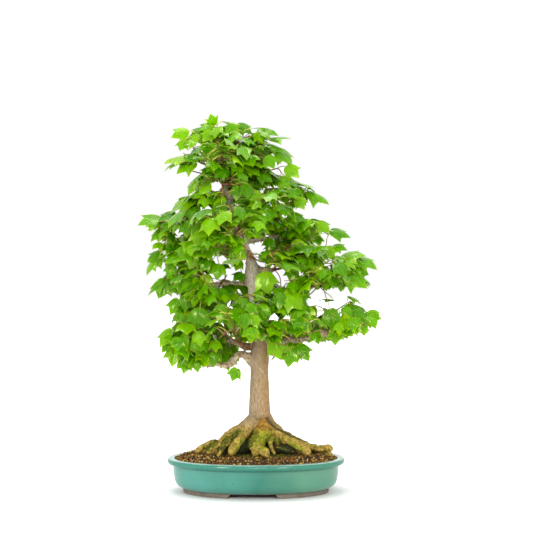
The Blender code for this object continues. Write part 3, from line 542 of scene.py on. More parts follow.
def dull_stuff(name, dark, light, size, roughness=0.9, bump=0.0):
    """A dull stuff whose colour drifts between two tones in patches of a given size."""
    material, tree, shader, place = new_material(name, light, roughness)
    patch = add_node(tree, "TexNoise", {"Vector": place, "Scale": per_metre(size), "Detail": 4.0})
    value = patch.outputs["Fac"]
    colour = layered(tree, dark, [(value, 0.3, 0.7, 1.0, light)])
    dress(tree, shader, colour, value if bump else None, bump)
    return material


ground_points, ground_faces = ground_surface()
earth = dull_stuff("damp potting soil", "#241808", "#4e3616", 3.0, bump=0.6)
ground = new_piece("soil_heap", ground_points + MIDDLE, ground_faces, [earth])
finish_piece(ground, "soil", "soil")

# %% [markdown]
# A grain is a small cube whose corners are pushed about at random, so that it
# looks chipped. One array holds them all: places over the oval, sizes, turns, and
# a material each. Scattering one grain with particles would be simpler, but
# particles don't stay when the model is exported.

# %% Grains of the soil
GRAIN_COUNT = 6200
GRAIN_SIZES = (0.0008, 0.0021)
GRAIN_KINDS = (
    ("wet bark chip", "#30220c", "#4a3414", 0.28),
    ("fired clay grain", "#6a4616", "#8c5e22", 0.3),
    ("dark lava grain", "#3c2e1a", "#58442a", 0.11),
    ("tan pumice grain", "#b08c48", "#d4b26c", 0.15),
    ("rust grain", "#8c4c14", "#ac6a24", 0.08),
    ("ochre grain", "#b8a024", "#dcc63c", 0.03),
    ("moss crumb", "#46520c", "#74821a", 0.05),
)
CUBE_FACES = np.array([[0, 2, 3, 1], [4, 5, 7, 6], [0, 1, 5, 4], [2, 6, 7, 3],
                       [0, 4, 6, 2], [1, 3, 7, 5]])


def random_turns(chance, count):
    """Random rotation matrices, from quaternions whose four parts are normal numbers."""
    w, x, y, z = unit(chance.normal(size=(count, 4))).T
    turns = np.array([[1 - 2 * (y * y + z * z), 2 * (x * y - z * w), 2 * (x * z + y * w)],
                      [2 * (x * y + z * w), 1 - 2 * (x * x + z * z), 2 * (y * z - x * w)],
                      [2 * (x * z - y * w), 2 * (y * z + x * w), 1 - 2 * (x * x + y * y)]])
    return np.moveaxis(turns, 2, 0).copy()


def chipped_grains(centres, sizes, chance):
    """Corners of turned cubes: centre + turn times (sign * stretch + jitter) times size."""
    count = len(centres)
    signs = np.array(list(itertools.product((-1, 1), repeat=3)))[:, ::-1]
    stretch = chance.uniform(0.55, 1.0, (count, 1, 3))
    jitter = chance.uniform(-0.28, 0.28, (count, 8, 3))
    corners = (signs * stretch * 0.72 + jitter) * sizes[:, None, None]
    points = np.einsum("nij,nkj->nki", random_turns(chance, count), corners) + centres[:, None]
    faces = CUBE_FACES[None] + 8 * np.arange(count)[:, None, None]
    return points.reshape(-1, 3), faces.reshape(-1, 4).tolist()


chance = np.random.default_rng(21)
grain_turn = chance.uniform(0, 2 * math.pi, GRAIN_COUNT)
grain_share = np.sqrt(chance.uniform(0, 1, GRAIN_COUNT))
grain_x, grain_y = oval(grain_turn, SOIL_INSET + 0.001)
grain_size = chance.uniform(*GRAIN_SIZES, GRAIN_COUNT)
grain_size *= 1 + 0.5 * chance.random(GRAIN_COUNT) ** 6
grain_places = np.stack([grain_share * grain_x, grain_share * grain_y, np.zeros(GRAIN_COUNT)], -1)
grain_places[:, 2] = soil_height(grain_places[:, 0], grain_places[:, 1]) + 0.35 * grain_size
grain_points, grain_faces = chipped_grains(grain_places, grain_size, chance)
shares = [kind[3] for kind in GRAIN_KINDS]
grain_kind = chance.choice(len(GRAIN_KINDS), GRAIN_COUNT, p=shares)
grain_stuffs = [dull_stuff(*kind[:3], 2.0) for kind in GRAIN_KINDS]
grains = new_piece("soil_grains", grain_points + MIDDLE, grain_faces, grain_stuffs,
                   np.repeat(grain_kind, 6), smooth=False)
finish_piece(grains, "soil")

# %% [markdown]
# Trunk, surface roots and boughs are one living surface: bark flows from one to
# the other without a seam. A Skin modifier could make it, but its joints pinch.
# Here each limb is swept as a tube along its middle line, all tubes are merged by
# a voxel remesh, and the whole is smoothed, so that collars and crotches come by
# themselves.

# %% Middle lines of the trunk, the roots and the boughs
TRUNK_LINE = np.array([
    (6, 0, 60, 26), (6, 0, 90, 23.5), (6, 0, 115, 20), (6, 0, 137, 17.9),
    (5.7, 0.5, 170, 16.2), (6, 1, 210, 15.5), (7, 1, 245, 15.4), (5, 3, 275, 12),
    (-0.5, 6, 315, 9.8), (-6.5, 6, 355, 10), (-8, 3, 385, 9), (-16.5, -1, 414, 6.6),
    (-25.5, -3, 440, 6), (-37, -2, 470, 5.6), (-50, 2, 506, 5), (-58.5, 3, 535, 4),
    (-62, 0, 566, 2.6),
]) / 1000
Root = namedtuple("Root", "bearing length height radius end bend")
ROOTS = [Root(bearing, *(size / 1000 for size in sizes), bend) for bearing, *sizes, bend in (
    (-4, 118, 130, 18, 5, 0.06), (-34, 92, 120, 15.5, 6.5, -0.1), (-64, 70, 112, 12, 5.5, 0.25),
    (-92, 72, 118, 14.5, 8, -0.08), (-124, 76, 112, 12, 5, -0.15), (-158, 86, 120, 15.5, 5.5, 0.12),
    (177, 99, 130, 18, 5, -0.06), (144, 88, 120, 15.5, 5, 0.12), (106, 76, 118, 14.5, 5.5, -0.1),
    (66, 78, 116, 13.5, 5.5, 0.1), (30, 94, 120, 15.5, 5, -0.1),
)]
Bough = namedtuple("Bough", "name bearing reach height end_height radius end arch swing")
BOUGHS = [Bough("bough_" + name, bearing, *(size / 1000 for size in sizes))
          for name, bearing, *sizes in (
    ("low_left", 202, 70, 226, 214, 7.4, 4.2, 16, 6),
    ("shoulder_left", 168, 74, 247, 262, 5.6, 3.4, -8, -8),
    ("low_right", -6, 132, 254, 262, 6.6, 3.8, -6, 6),
    ("front_low", 262, 70, 266, 288, 5.2, 3.4, -4, 6), ("back_low", 84, 80, 258, 262, 6, 3.8, 6, -8),
    ("back_left", 136, 88, 292, 306, 4.8, 3.4, 4, 8), ("back_right", 48, 90, 302, 312, 4.8, 3.4, 4, -6),
    ("mid_right", 6, 108, 320, 349, 4.6, 3.2, -8, 6), ("mid_left", 184, 70, 350, 349, 4.4, 3.2, 3, 4),
    ("stub_right", -12, 36, 378, 374, 5, 4.2, -2, 2), ("right_high", 8, 76, 424, 438, 4.2, 3.2, -4, -4),
    ("hanging_left", 206, 42, 436, 404, 4.2, 3.2, 6, 2),
    ("front_high", 272, 52, 440, 446, 4, 3.2, 2, 4), ("back_high", 86, 66, 446, 454, 4.2, 3.2, 4, 4),
    ("left_high", 178, 62, 458, 456, 4.2, 3.2, 5, -4), ("right_upper", -4, 70, 496, 500, 3.8, 3, 3, 4),
)]
print("boughs:", len(BOUGHS))

# %% Limbs that show: picture places, depth and radius in mm
FRONT_ROOTS = {
    "upper left ridge": (
        (236, 430, -28, 8), (227, 437, -44, 6.5), (219, 443, -55, 5.5), (213, 448, -62, 4.5),
        (208, 453, -68, 3),
    ),
    "lower left ridge": (
        (240, 431, -32, 7), (232, 438, -46, 5.5), (225, 445, -60, 4.5), (221, 451, -68, 3.5),
        (218, 455, -72, 2.5),
    ),
    "left flank": (
        (253, 421, -6, 13), (247, 427, -10, 12.5), (239, 431.8, -14, 11.5), (229.5, 437.3, -18, 9),
        (220, 443.3, -20, 7), (212, 444, -22, 7.5), (205, 446.5, -26, 6), (198, 450, -30, 4.5),
    ),
    # Mounds in the gaps between the roots, dark with moss and with painted shade.
    "mossy ground, left": ((224, 449, -30, 9), (236, 447, -34, 11), (248, 446, -36, 12)),
    "mossy ground, right": ((268, 446, -36, 12), (280, 447, -38, 11), (292, 450, -40, 8)),
    "front of left flank": (
        (254, 421, -16, 12), (247, 428, -27, 12), (240, 433.5, -36, 10.5), (232, 438.5, -42, 9),
        (225, 443, -46, 7.5), (219, 447, -48, 6),
    ),
    "right flank": (
        (266, 422, -4, 13), (271, 427.5, -8, 13), (277, 433.5, -12, 11.5), (284, 438.6, -14, 9),
        (292, 441.6, -16, 7.5), (299, 443.6, -18, 6), (307, 446.8, -18, 5),
    ),
    "finger": (
        (248, 429, -26, 9), (242, 437, -42, 8.5), (237, 443, -56, 8.2), (233, 448.5, -68, 7.8),
        (231.5, 452, -72, 6.8),
    ),
    "middle ridge": (
        (264, 419, -14, 9), (264, 425, -24, 13), (263, 431, -34, 15.5), (261, 437, -43, 15),
        (258.5, 442, -50, 13),
    ),
    "bulb": (
        (259, 440, -46, 12), (257, 445, -58, 13.5), (256, 449, -66, 12.5), (255.5, 452, -68, 9),
    ),
    "nub": (
        (259, 448, -70, 6), (263, 451, -77, 7), (266, 453, -82, 7.5), (268, 455, -85, 5.5),
    ),
    "curl": (
        (277.5, 446, -46, 3.2), (277, 441.5, -54, 3.5), (274.5, 438.4, -60, 3.9),
        (271.4, 439.2, -64, 3.9), (270.2, 443, -68, 3.7), (271.2, 448, -72, 3.4), (274, 453, -76, 2.8),
    ),
    "big right root": (
        (270, 426, -22, 8), (276, 431.5, -34, 8.5), (284, 437, -44, 9), (292, 441.5, -53, 9),
        (300, 446, -60, 8.5), (305, 449, -64, 7.5), (308, 452, -66, 5.5),
    ),
    "root behind it": (
        (288, 438, -20, 7), (297, 442, -28, 6.5), (305, 445, -34, 6), (314, 447.5, -38, 5),
        (322, 450, -42, 3.5),
    ),
    "right end knob": (
        (305, 446, -14, 6), (313, 448, -18, 5.5), (320, 448.5, -22, 5.5), (326, 448.2, -24, 5.8),
        (330, 449, -26, 5),
    ),
    "strand": ((276, 447, -58, 1.1), (283, 449, -66, 1), (290, 451, -72, 1), (294, 452, -76, 0.9)),
}
FRONT_BEARINGS = (-140, -20)
CRACK = ((266, 417), (267.5, 418), (269.5, 421), (273, 425.5), (277, 428.5),
         (284, 431.5), (292, 435.5), (304, 440))
SHOWN_BOUGHS = {
    "bough_low_left": (
        (257, 362, 0, 8), (250.5, 358.8, -3, 7), (246, 355.8, -7, 6.4), (241.5, 354, -11, 6.3),
        (237.5, 354.8, -14, 6.8), (234.8, 358, -17, 6), (232.3, 362, -19, 6.6), (228.5, 364.6, -21, 6),
        (220, 364.8, -24, 4.8), (207, 364.3, -27, 4),
    ),
    "bough_low_right": (
        (262, 340, 0, 7), (272, 340.5, -2, 5.2), (285, 340.5, -4, 4.3), (297, 340, -6, 4),
        (306, 338.5, -8, 4), (313, 336, -9, 4.8), (319, 333.5, -10, 5.6), (325, 333.5, -11, 4.9),
        (330, 334.5, -12, 4), (338, 332, -13, 3.5), (346, 330, -14, 3),
    ),
}
print("limbs that show:", len(FRONT_ROOTS) + len(SHOWN_BOUGHS))

# %% Plain paths of the limbs
ROOT_FALL = 0.038
trunk_path = smooth_path(TRUNK_LINE, 8)


def trunk_at(height):
    """The trunk's middle and radius at a height, read off its smooth line."""
    x, y, radius = (np.interp(height, trunk_path[:, 2], trunk_path[:, i]) for i in (0, 1, 3))
    return np.array([x, y, height]), radius


def root_path(root, rings):
    """A root falls as exp(-way / 38 mm) from the trunk, then runs on the soil and tapers."""
    start, _ = trunk_at(root.height)
    out = level_way(math.radians(root.bearing))
    side = np.cross(UP, out)
    along = np.linspace(0.0, 1.0, rings)
    radii = root.radius + (root.end - root.radius) * along ** 0.7
    rest = SOIL_TOP + 0.25 * radii
    fall = np.exp(-along * root.length / ROOT_FALL)
    wander = root.bend * root.length * np.sin(along * math.pi * 1.3) * along
    path = start + np.outer(along * root.length, out) + np.outer(wander, side)
    path[:, 2] = rest + (root.height - rest[0]) * fall
    return path, radii


def bough_path(bough, rings=26):
    """A bough runs from the trunk's line to its end, with an arch and a swing on the way."""
    start, _ = trunk_at(bough.height)
    out = level_way(math.radians(bough.bearing))
    side = np.cross(UP, out)
    along = np.linspace(0.0, 1.0, rings)
    path = start + np.outer(along * bough.reach, out)
    path += np.outer(bough.swing * np.sin(along * math.pi * 1.4), side)
    swell = 1.4 - 0.8 * along
    path[:, 2] += (bough.end_height - bough.height) * along
    path[:, 2] += bough.arch * np.sin(along * math.pi) * swell
    radii = bough.radius + (bough.end - bough.radius) * along
    return path, radii


print("trunk", len(trunk_path), "points,", len(ROOTS), "roots")

# %% [markdown]
# A real limb is never a clean cone. Its middle line wavers, it has knuckles where
# old shoots were cut, and a collar where it leaves the trunk. The roots fork and
# sink into the soil, with thinner ones between them. Seeded rules add all of this
# to the plain paths before they are swept.

# %% Natural shape of the limbs
LIMB_SIDES = 18
KNUCKLE = 0.22
TRUNK_SWELLS = ((0.37, 0.0026, 0.013), (0.418, -0.0019, 0.016))
RINGED = "bough_stub_right"
RING_STEP = 0.0046
RING_DEPTH = 0.2
COLLAR_GROWTH = 0.55
COLLAR_LENGTH = 0.008


def wavered(path, radii, amount, pace, seed):
    """Path and radii moved by slow noise that starts from nothing at the foot."""
    travelled = np.concatenate([[0.0], np.cumsum(norm(np.diff(path, axis=0), axis=1))])
    spots = np.stack([travelled, np.full_like(travelled, seed * 0.37), travelled * 0], axis=-1)
    ease = smooth_step(0.0, 0.02, travelled)[:, None]
    shift = np.stack([relief(spots, pace, seed + i) for i in range(3)], axis=-1)
    knuckles = 1 + KNUCKLE * relief(spots, pace * 0.7, seed + 9) * ease[:, 0]
    return path + amount * ease * shift, radii * knuckles, travelled


def shown_limb(places):
    """Path and radii of a limb that is drawn by picture places, depths and radii in mm."""
    rows = smooth_path(places, 8)
    path = np.array([place_seen(across, down, depth / 1000) for across, down, depth, _ in rows])
    return path, rows[:, 3] / 1000


def natural_bough(bough, seed):
    """A bough with its waver, its knuckles or rings, and a collar round its foot."""
    if bough.name in SHOWN_BOUGHS:
        limb, amount, pace = shown_limb(SHOWN_BOUGHS[bough.name]), 0.001, 0.007
    else:
        limb, amount, pace = bough_path(bough, 40), 0.0016, 0.013
    path, radii, travelled = wavered(*limb, amount, pace, seed)
    if bough.name == RINGED:
        radii = radii * (1 + RING_DEPTH * np.sin(2 * math.pi * travelled / RING_STEP))
    _, trunk_radius = trunk_at(bough.height)
    out_of_trunk = np.maximum(travelled - trunk_radius, 0.0)
    collar = 1 + COLLAR_GROWTH * np.exp(-out_of_trunk / COLLAR_LENGTH)
    return path, radii * collar


def natural_roots():
    """Front roots as they show; elsewhere main roots, forks and thin roots, whose ends dip."""
    chance = np.random.default_rng(5)
    limbs = []
    for number, places in enumerate(FRONT_ROOTS.values()):
        path, radii, _ = wavered(*shown_limb(places), 0.0009, 0.012, 140 + 11 * number)
        limbs.append((path, radii))
    for number, root in enumerate(ROOTS):
        if FRONT_BEARINGS[0] < root.bearing < FRONT_BEARINGS[1]:
            continue
        side = chance.choice((-1, 1))
        turn = root.bearing + side * chance.uniform(13, 20)
        fork = Root(turn, root.length * chance.uniform(0.86, 0.98), root.height - 0.012,
                    root.radius * 0.62, root.end * 0.72, side * chance.uniform(0.02, 0.14))
        thin = Root(root.bearing - side * chance.uniform(12, 18),
                    root.length * chance.uniform(0.62, 0.84), 0.098, 0.0068, 0.0028,
                    chance.uniform(-0.25, 0.25))
        for grown, rings, amount, pace, seed, dip in (
                (root, 40, 0.0022, 0.022, 40, 0.006), (fork, 40, 0.0024, 0.018, 70, 0.005),
                (thin, 36, 0.003, 0.014, 100, 0.004)):
            path, radii, _ = wavered(*root_path(grown, rings), amount, pace, seed + number)
            path[:, 2] -= dip * smooth_step(0.62, 1.0, np.linspace(0.0, 1.0, rings))
            limbs.append((path, radii))
    return limbs


def trunk_limb():
    """The trunk's line with its radius, a touch uneven, and its swells."""
    path = trunk_path[:, :3].copy()
    radii = trunk_path[:, 3] * (1 + 0.035 * relief(path, 0.03, 17))
    for middle, growth, reach in TRUNK_SWELLS:
        radii += growth * np.exp(-((path[:, 2] - middle) / reach) ** 2)
    return path, radii


limbs = [trunk_limb()] + natural_roots()
bough_limbs = [natural_bough(bough, 200 + number) for number, bough in enumerate(BOUGHS)]
print("limbs to merge:", len(limbs) + len(bough_limbs))

# %% [markdown]
# A voxel remesh wraps one even skin round everything that overlaps, like shrink
# film, and needs no tidy joints. The voxel has to be well under the thinnest
# bough, which is why the twigs stay out of this piece. A few rounds of smoothing
# then ease the creases where limbs meet.

# %% Merge the limbs into one skin
VOXEL = 0.00145
SMOOTHING_ROUNDS = 5


def merged_skin(parts):
    """Sweep every limb, remesh the lot to one surface, and return its points and faces."""
    swept = []
    for path, radii in parts:
        reach = unit(path[-1] - path[-2]) * radii[-1]
        path = np.vstack([path, path[-1] + 0.55 * reach, path[-1] + 0.9 * reach])
        radii = np.concatenate([radii, radii[-1:] * 0.8, radii[-1:] * 0.4])
        swept.append(tubes(path[None], radii[None], LIMB_SIDES))
    rough = new_piece("limbs_rough", *joined(swept), [])
    remesh = rough.modifiers.new("one skin", "REMESH")
    remesh.mode = "VOXEL"
    remesh.voxel_size = VOXEL
    smooth = rough.modifiers.new("eased", "SMOOTH")
    smooth.factor = 0.5
    smooth.iterations = SMOOTHING_ROUNDS
    graph = bpy.context.evaluated_depsgraph_get()
    merged = bpy.data.meshes.new_from_object(rough.evaluated_get(graph))
    bpy.data.objects.remove(rough, do_unlink=True)
    corners = read_out(merged.loops, "vertex_index", kind=np.int64)
    return read_out(merged.vertices, "co", 3), corners.reshape(-1, 4)


skin, skin_faces = merged_skin(limbs + bough_limbs)
print("skin:", len(skin), "points,", 2 * len(skin_faces), "triangles")

# %% [markdown]
# The skin gets its relief by moving points along their normals, which keeps it
# closed. The trunk has fine upright wrinkles and slow lumps, the roots have
# coarser knobs, and old pruning cuts show as a ragged shoulder and a swollen
# ring. How deep each point lies in a hollow is measured too, because moss gathers
# there, and the hollows are painted darker as painted shade.

# %% Relief of the bark
WRINKLE = (0.003, 0.003, 0.014)
WRINKLE_DEPTH = 0.00032
LUMP_DEPTH = 0.0009
KNOB_DEPTH = 0.0011
ROOT_TOP = 0.128
CALLUS = np.array([-0.0075, -0.006, 0.396])
SHOULDER = np.array([0.0175, -0.005, 0.248])
GIRDLE_HEIGHTS = (0.1195, 0.1265, 0.19)
CRACK_WIDTH = 1.3
CRACK_DEPTH = 0.0022
DEEP_ROUNDS = 60


def point_normals(points, faces):
    """Mean normal of the faces round each point; a face's is the cross of its diagonals."""
    a, b, c, d = (points[faces[:, i]] for i in range(4))
    flat = np.cross(c - a, d - b)
    normals = np.zeros_like(points)
    for i in range(4):
        np.add.at(normals, faces[:, i], flat)
    return unit(normals)


def neighbour_mean(values, faces):
    """Mean of a value over the points that share an edge with each point."""
    here = faces.ravel()
    there = np.roll(faces, -1, axis=1).ravel()
    count = np.maximum(np.bincount(here, minlength=len(values)), 1)
    sums = [np.bincount(here, column[there], len(values)) for column in np.atleast_2d(values.T)]
    return (np.array(sums) / count).T


def hollowness(points, normals, faces, rounds=6):
    """How deep each point lies below its surroundings, in metres, after some spreading."""
    wide = points
    for _ in range(rounds):
        wide = neighbour_mean(wide, faces)
    return np.sum((wide - points) * normals, axis=1)


def line_distance(across, down, line):
    """Distance of picture places from a line through picture points, in pixels."""
    line = np.array(line, dtype=float)
    start, stop = line[:-1], line[1:]
    place = np.stack([across, down], axis=-1)[:, None] - start
    way = stop - start
    share = np.clip(np.sum(place * way, axis=2) / np.sum(way * way, axis=1), 0.0, 1.0)
    return norm(place - share[..., None] * way, axis=2).min(axis=1)


def swell_at(points, centre, size, height):
    """A round bump: height times exp(-(distance / size)^2)."""
    return height * np.exp(-(norm(points - centre, axis=1) / size) ** 2)


outward = point_normals(skin, skin_faces)
height = skin[:, 2]
trunk_x, trunk_y, trunk_r = (
    np.interp(height, trunk_path[:, 2], trunk_path[:, i]) for i in (0, 1, 3))
off_trunk = np.hypot(skin[:, 0] - trunk_x, skin[:, 1] - trunk_y)
is_trunk = 1 - smooth_step(1.15, 1.7, off_trunk / trunk_r)
is_root = 1 - smooth_step(ROOT_TOP - 0.026, ROOT_TOP, height)
is_bough = np.clip(1 - is_trunk - is_root, 0.0, 1.0) * smooth_step(0.15, 0.175, height)

lift = WRINKLE_DEPTH * relief(skin, np.array(WRINKLE), 31) * (is_trunk + 0.5 * is_bough)
lift += LUMP_DEPTH * relief(skin, 0.018, 32) * is_trunk * (1 - 0.6 * is_root)
lift += KNOB_DEPTH * relief(skin, 0.0085, 33) * is_root
lift += relief(skin, 0.004, 34) * np.maximum(0.0006 * is_root, 0.001 * is_bough)
lift += 0.0014 * relief(skin, 0.0065, 35) * is_bough
lift += swell_at(skin, CALLUS, 0.0062, 0.0024)
lift -= swell_at(skin, CALLUS, 0.003, 0.003)
shoulder = swell_at(skin, SHOULDER, 0.0085, 0.003)
lift += shoulder * (1 + 0.8 * relief(skin, 0.0035, 36))
for girdle in GIRDLE_HEIGHTS:
    ring = np.exp(-((height - girdle - 0.001 * relief(skin, 0.01, 37)) / 0.0009) ** 2)
    lift -= 0.0003 * ring * is_trunk
seen_across, seen_down = seen_at(skin).T
crack_way = line_distance(seen_across, seen_down, CRACK) + 0.5 * relief(skin, 0.0035, 38)
in_crack = np.exp(-(np.maximum(crack_way, 0.0) / CRACK_WIDTH) ** 2)
in_crack *= (skin[:, 1] < trunk_y) & is_root.astype(bool)
lift -= CRACK_DEPTH * in_crack
skin = skin + lift[:, None] * outward
outward = point_normals(skin, skin_faces)
hollow = hollowness(skin, outward, skin_faces)
deep = hollowness(skin, outward, skin_faces, DEEP_ROUNDS)
print("hollows from", (hollow.min() * 1000).round(2), "to", (hollow.max() * 1000).round(2), "mm")

# %% [markdown]
# Maple bark on a young trunk is thin and pale, grey on one side and tan on the
# other, with short upright brown flecks. The tan on the right is partly painted
# shade, and the upper trunk is painted paler, as painted light where the leaves
# shade it. The roots weather to olive, algae and moss sit in their hollows, and a
# bare patch at the front shows the orange under-bark. Deep hollows, small creases
# and the crack are painted darker, as painted shade. A noise alone would put these
# tints anywhere. So they are worked out per point and kept as attributes, which
# the material mixes. The flecks are drawn a little coarser than real, so that they
# show.

# %% Tints of the bark
PATCH_LINE = ((264, 416), (264, 428), (261, 444))
PATCH_TOP = 418.5
PATCH_WIDTHS = (5.0, 12.5)
FLECK = (1.5, 1.5, 7.0)
BARK_STUFFS = (
    ("knotty wood", "cloud", 0.38, 0.66, "#dac8a8", "#866a42"),
    ("olive wood", "mottle", 0.34, 0.66, "#c4a246", "#6c5c14"),
    ("bare wood", "mottle", 0.34, 0.66, "#bc862a", "#6a4e0e"),
    ("algae", "mottle", 0.34, 0.66, "#a09c16", "#5e6e0a"),
    ("moss cushion", "mottle", 0.34, 0.66, "#88860e", "#3a3e08"),
)
BARK_LAYERS = (
    # The pale tone on the upper trunk is painted light where the leaves shade it.
    # The tan layer on the trunk's right side is the bark's own tan and partly painted shade.
    ("warm", 0.0, 1.0, 1.0, "#a18155"), ("high", 0.0, 1.0, 1.0, "#f0e2ca"),
    ("bough", 0.0, 1.0, 1.0, "knotty wood"), ("fleck", 0.46, 0.34, 0.5, "#c4b291"),
    ("fleck", 0.52, 0.68, 0.75, "#86623c"), ("knuckle", 0.0, 1.0, 1.0, "#94643a"),
    ("root", 0.0, 1.0, 1.0, "olive wood"), ("broken patch", 1.0, 1.3, 1.0, "bare wood"),
    ("low_patch", 0.0, 1.0, 1.0, "algae"), ("broken moss", 1.0, 1.3, 1.0, "moss cushion"),
    # The last two layers are painted shade: in the deep hollows, and in small creases and the crack.
    ("shade", 0.0, 1.0, 1.0, "#1a2006"), ("dirt", 0.0, 1.0, 1.0, "#2a220c"),
)
DARK_MOSS = (
    ((239, 431), (235, 435), (231, 439)), ((256, 433), (252, 441), (246, 450)),
    ((227, 438), (222, 450)), ((270, 438), (279, 441), (284, 450)), ((216, 443), (206, 449)),
)
BRIGHT_MOSS = (((266, 433), (263, 448)), ((291, 443), (301, 449)), ((243, 440), (236, 450)))


def moss_and_shade_ground():
    """1 on the mossy ground between the roots, which is also painted shade: near the paths whose names
    say so.
    """
    near = np.zeros(len(skin))
    for name in FRONT_ROOTS:
        if name.startswith("mossy ground"):
            path, radii = shown_limb(FRONT_ROOTS[name])
            gaps = norm(skin[:, None] - path[None], axis=2) - radii
            near = np.maximum(near, 1 - smooth_step(0.002, 0.0045, gaps.min(axis=1)))
    return near


def near_lines(lines, rough):
    """1 on the front of the roots near one of the picture's lines, 0 away from them."""
    gaps = [line_distance(seen_across, seen_down, line) for line in lines]
    near = 1 - smooth_step(1.0, 4.0, np.min(gaps, axis=0) + rough)
    return near * at_front


def bark_tints():
    """Numbers from 0 to 1 on each point, one for each tint that has a place on the tree."""
    blotch = relief(skin, 0.011, 51)
    fine = relief(skin, 0.0045, 52)
    below = seen_down - PATCH_TOP + 1.2 * fine
    width = np.interp(below, (0, 13), PATCH_WIDTHS)
    patch = line_distance(seen_across, seen_down, PATCH_LINE) + 2.0 * fine + 1.2 * blotch
    patch = (1 - smooth_step(width * 0.6, width, patch)) * at_front * (below > 0)
    patch *= 1 - smooth_step(22, 32, below)
    root_line = 0.123 + 0.008 * blotch
    olive = 1 - smooth_step(root_line - 0.026, root_line + 0.014, height)
    shade = smooth_step(0.0006, 0.0026, deep + 0.0008 * fine)
    shade *= 1 - smooth_step(0.1, 0.112, height)
    beside = smooth_step(-0.0002, 0.0012, deep + 0.0014 * fine + 0.001 * blotch)
    moss = beside * (1 - smooth_step(0.104, 0.12, height))
    ground = moss_and_shade_ground()
    # Painted shade on the mossy ground between the roots.
    shade = np.maximum(shade, 0.88 * ground)
    spots = smooth_step(0.15, 0.55, blotch + 0.3 * fine)
    spots *= 1 - smooth_step(0.097, 0.114, height)
    grown = near_lines(DARK_MOSS, 1.3 * fine + 0.8 * blotch)
    moss = np.clip(moss * 0.75 + spots * 0.45 + grown + ground, 0, 1)
    # Tan on the trunk's right side: the bark's tan, partly painted shade on the side away from the key
    # lamp.
    warm = smooth_step(-0.01, 0.012, skin[:, 0] - trunk_x)
    # Painted shade in the small hollows and along the crack.
    dirt = np.clip(0.8 * smooth_step(0.0004, 0.0016, hollow) + in_crack, 0, 1)
    # Painted light: the upper trunk is painted paler where the leaves shade it.
    high = smooth_step(0.26, 0.31, height) * (1 - is_bough)
    low_patch = patch * smooth_step(8, 17, below)
    bright = near_lines(BRIGHT_MOSS, 1.6 * fine + 1.2 * blotch)
    low_patch = np.maximum(low_patch, 0.9 * bright)
    knuckle = 0.8 * np.exp(-(norm(skin - CALLUS, axis=1) / 0.0065) ** 4)
    return dict(root=olive, moss=moss, shade=shade, patch=patch, bough=is_bough, warm=warm,
                dirt=dirt, high=high, low_patch=low_patch, knuckle=knuckle)


at_front = skin[:, 1] < trunk_y - 0.008
tints = bark_tints()
print("tints:", ", ".join(tints))

# %% Bark material
def maple_bark(tint_names):
    """Thin pale bark with upright flecks, tinted by the piece's own attributes, among them painted
    shade and painted light.
    """
    material, tree, shader, place = new_material("trident maple bark", "#b3a48c", 0.82)
    drawn = add_node(tree, "Mapping", {"Vector": place,
                                       "Scale": tuple(per_metre(size) for size in FLECK)})
    values = {name: add_node(tree, "Attribute", attribute_name=name).outputs["Fac"]
              for name in tint_names}
    for name, vector, scale, detail in (
            ("fleck", drawn.outputs[0], 1.0, 2.0), ("cloud", place, per_metre(6), 4.0),
            ("mottle", place, per_metre(4), 4.0), ("speckle", place, per_metre(2.2), 3.0)):
        noise = add_node(tree, "TexNoise", {"Vector": vector, "Scale": scale, "Detail": detail})
        values[name] = noise.outputs["Fac"]
    for name in ("patch", "moss"):
        rough = add_node(tree, "Math", {0: values["speckle"], 1: 1.3, 2: values[name]},
                         operation="MULTIPLY_ADD")
        values["broken " + name] = rough.outputs[0]
    stuffs = {name: layered(tree, light, [(values[noise], start, full, 1.0, dark)])
              for name, noise, start, full, light, dark in BARK_STUFFS}
    layers = [(values[name], start, full, share, stuffs.get(tone, tone))
              for name, start, full, share, tone in BARK_LAYERS]
    dress(tree, shader, layered(tree, "#9f896c", layers), values["fleck"], 0.35, 0.0006)
    return material


bark_piece = new_piece("living_wood", skin + MIDDLE, skin_faces.tolist(),
                       [maple_bark(tints)])
for name, values in tints.items():
    layer = bark_piece.data.attributes.new(name, "FLOAT", "POINT")
    layer.data.foreach_set("value", values.astype(np.float32))
finish_piece(bark_piece, "trunk_bark", "trunk", *(bough.name for bough in BOUGHS))

# %% [markdown]
# Moss is not only a colour: its cushions look rough, because they are thousands
# of tiny upright leaves. A bump would not break their edge. So where the tint
# says moss, small three-sided spikes stand on the bark, a little upward.

# %% Moss on the roots
TUFT_COUNT = 6000
TUFT_LENGTHS = (0.0011, 0.0034)
TUFT_WIDTH = 0.00045
TUFT_SPREAD = 0.55
GROUND_TUFTS = 3800
GROUND_CENTRE = (0.002, -0.048)
GROUND_SPREAD = (0.034, 0.015)


def spikes(feet, ways, heights, width):
    """Three-sided spikes: a triangle of three points round the foot, and a tip along the way."""
    ring = circles(ways, np.eye(3)[np.argmin(np.abs(ways), axis=1)], 3)
    tips = feet + ways * heights[:, None]
    points = np.concatenate([feet[:, None] + width * ring, tips[:, None]], axis=1)
    faces = np.array([[0, 1, 3], [1, 2, 3], [2, 0, 3], [2, 1, 0]])
    return points.reshape(-1, 3), (faces + 4 * np.arange(len(feet))[:, None, None]).reshape(-1, 3)


